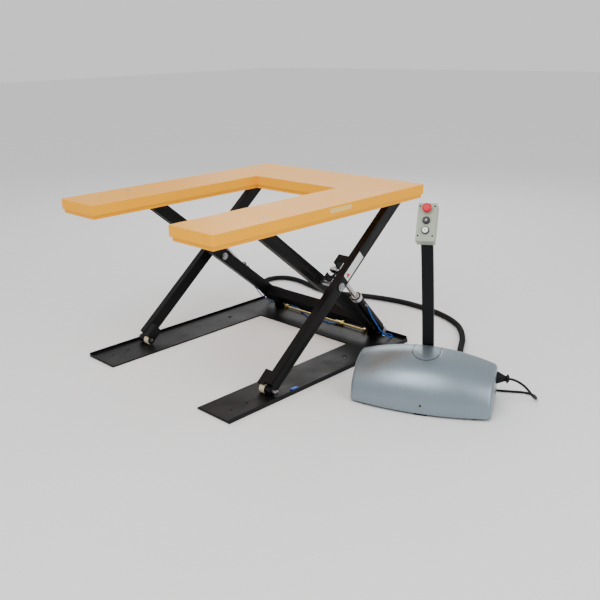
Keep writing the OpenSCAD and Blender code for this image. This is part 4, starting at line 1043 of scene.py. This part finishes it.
# %% Gland rings and wiper on each cylinder
BARREL_LENGTH = 0.335
BARREL_HOLE = 0.0265
WIPER_HOLE = 0.0129
ring_sizes = [(-BARREL_LENGTH + 0.005, 0.0290, 0.014, BARREL_HOLE),
              (-BARREL_LENGTH + 0.016, 0.0275, 0.007, BARREL_HOLE),
              (-BARREL_LENGTH - 0.004, 0.0200, 0.007, WIPER_HOLE)]
for side in ("near", "far"):
    rings = []
    for x, radius, width, hole in ring_sizes:
        ring = disc(radius, width, (x, 0, 0), "X", 0, 64)
        cut_with(ring, [disc(hole, 0.1, (x, 0, 0), "X", 0, 64)])
        rings.append(bevel_edges(ring, 0.0012, 2))
    gland = join(rings)
    smooth(gland, 35)
    settle(gland, cylinder_frames[side])
    hand_over(gland, side + "_gland_rings", side + "_barrel_body", bright_zinc)

# %% [markdown]
# A blue tube leaves a port on each barrel's side and runs down the barrel to the hinge line, where
# a fixed line on the base takes over.

# %% Drain port and blue tube on each cylinder
side_sign = {"near": -1, "far": 1}
TUBE_RADIUS = 0.003
PORT_X = -0.262
HINGE_END = Vector((-0.008, 0.4615, 0.020))
for side in ("near", "far"):
    sign = side_sign[side]
    place = cylinder_frames[side]
    port = disc(0.0075, 0.006, (PORT_X, 0.0275 * sign, 0), "Y", 0.001, 6)
    nut = disc(0.0055, 0.010, (PORT_X + 0.004, 0.0325 * sign, 0), "X", 0.0008, 24)
    fitting = join([port, nut])
    smooth(fitting, 30)
    settle(fitting, place)
    hand_over(fitting, side + "_drain_port", side + "_barrel_body", zinc_plate)
    tube_points = [place @ Vector((x, y * sign, z)) for x, y, z in (
        (PORT_X + 0.008, 0.0325, 0), (-0.235, 0.0325, -0.004), (-0.200, 0.032, -0.012),
        (-0.160, 0.031, -0.018), (-0.120, 0.031, -0.021), (-0.080, 0.031, -0.024),
        (-0.040, 0.031, -0.027))]
    tube_points.append(Vector((HINGE_END.x, HINGE_END.y * sign, HINGE_END.z)))
    tube_line, tube_length = resample(along_spline(tube_points, 8), 0.003)
    tube = sweep(side + "_drain_tube", tube_line, np.full(len(tube_line), TUBE_RADIUS), 10)
    hand_over(tube, side + "_drain_tube", side + "_barrel_body", blue_tube)
    print("it is", round(tube_length, 3), "m long and ends at", rounded(tube_line[-1]))

# %% [markdown]
# The fixed lines lie on the cross plate: a small loop back to a port on the near side, and a long
# run to the tee of the oil pipes on the far side.

# %% Return lines on the cross plate
TUBE_Z = 0.0115
RETURNS = {
    "near_return_loop": [
        (HINGE_END.x, -HINGE_END.y, HINGE_END.z), (0.012, -0.462, 0.0125), (0.036, -0.455, TUBE_Z),
        (0.047, -0.432, TUBE_Z), (0.040, -0.410, TUBE_Z), (0.022, -0.400, TUBE_Z),
        (0.006, -0.406, TUBE_Z), (0.0, -0.420, TUBE_Z)],
    "far_return_line": [
        (HINGE_END.x, HINGE_END.y, HINGE_END.z), (0.006, 0.461, 0.0125), (0.022, 0.445, TUBE_Z),
        (0.034, 0.415, TUBE_Z), (0.036, 0.385, TUBE_Z), (0.036, 0.330, TUBE_Z),
        (0.028, 0.270, TUBE_Z), (0.010, 0.215, TUBE_Z), (-0.011, 0.182, 0.013),
        (-0.032, 0.132, 0.013), (-0.042, 0.107, 0.013), (-0.042, 0.050, TUBE_Z),
        (-0.042, -0.030, TUBE_Z), (-0.040, -0.080, 0.013), (-0.030, -0.112, 0.017)],
}
for line_name, line_points in RETURNS.items():
    return_line, return_length = resample(along_spline(line_points, 8), 0.003)
    return_tube = sweep(line_name, return_line, np.full(len(return_line), TUBE_RADIUS), 10)
    hand_over(return_tube, line_name, "base", blue_tube)
    print("it is", round(return_length, 3), "m long")
port = disc(0.006, 0.009, (0.0, -0.423, 0.0127), "Z", 0.001, 6)
smooth(port)
hand_over(port, "near_return_port", "base", zinc_plate)

# %% [markdown]
# A small blue cap sits on the near rail.

# %% Blue cap on the near rail
cap_block = block((0.042, 0.020, 0.010), (-0.834, -0.528, 0.0131), 0.003, 3)
smooth(cap_block)
hand_over(cap_block, "rail_blue_cap", "base", blue_tube)


# %% [markdown]
# Plain triangles on the buttons point up and down. Each lies on its button's top and rides on it,
# so it goes in when the button is pressed. The warning triangle below is made in the same way.


# %% Arrow marks on the two buttons
def triangle(radius, depth, centre, turn, local_frame):
    bpy.ops.mesh.primitive_cylinder_add(vertices=3, radius=radius, depth=depth, location=centre,
                                        rotation=turn)
    return settle(bpy.context.object, local_frame)


def button_mark(node_name, down, turn, material, body):
    top = max((box_frame.inverted() @ v.co).z for v in nodes[node_name].data.vertices)
    mark = triangle(0.0048, 0.0003, (0, -down, top + 0.00016), (0, 0, turn), box_frame)
    hand_over(mark, node_name + "_arrow", body, material)


button_mark("up_button", 0.078, 0, white_plastic, "up_button_body")
button_mark("down_button", 0.123, math.pi, black_plastic, "down_button_body")

# %% [markdown]
# The labels are blank plates: one on the outer face of the near outer leg with a small red
# triangle, and one on the platform's skirt.

# %% Label plates on the near outer leg and on the platform's near side
LABEL_FROM_FOOT = 0.670
LABEL_LENGTH = 0.155
LABEL_WIDTH = 0.046
LABEL_THICKNESS = 0.0006
LABEL_Z = 0.0025
LEG_OUTER_FACE = 0.507
label_x = -(leg_length - LABEL_FROM_FOOT - LABEL_LENGTH / 2)
plate = block((LABEL_LENGTH, LABEL_THICKNESS, LABEL_WIDTH),
              (label_x, -LEG_OUTER_FACE - LABEL_THICKNESS / 2, LABEL_Z), 0.0002, 1)
smooth(plate)
settle(plate, outer_frame)
hand_over(plate, "leg_label_plate", "outer_legs", label_film)
warning_place = (label_x - 0.056, -LEG_OUTER_FACE - LABEL_THICKNESS - 0.0002, LABEL_Z)
warning = triangle(0.016, 0.0004, warning_place, (math.pi / 2, 0, 0), outer_frame)
hand_over(warning, "leg_label_triangle", "outer_legs", label_red)
skirt_low, skirt_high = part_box("platform_skirt")
name_plate = block((0.150, 0.0008, 0.022), (-0.560, skirt_low.y - 0.0004, skirt_high.z - 0.016), 0.0003, 1)
smooth(name_plate)
hand_over(name_plate, "skirt_name_plate", "platform", label_pale)
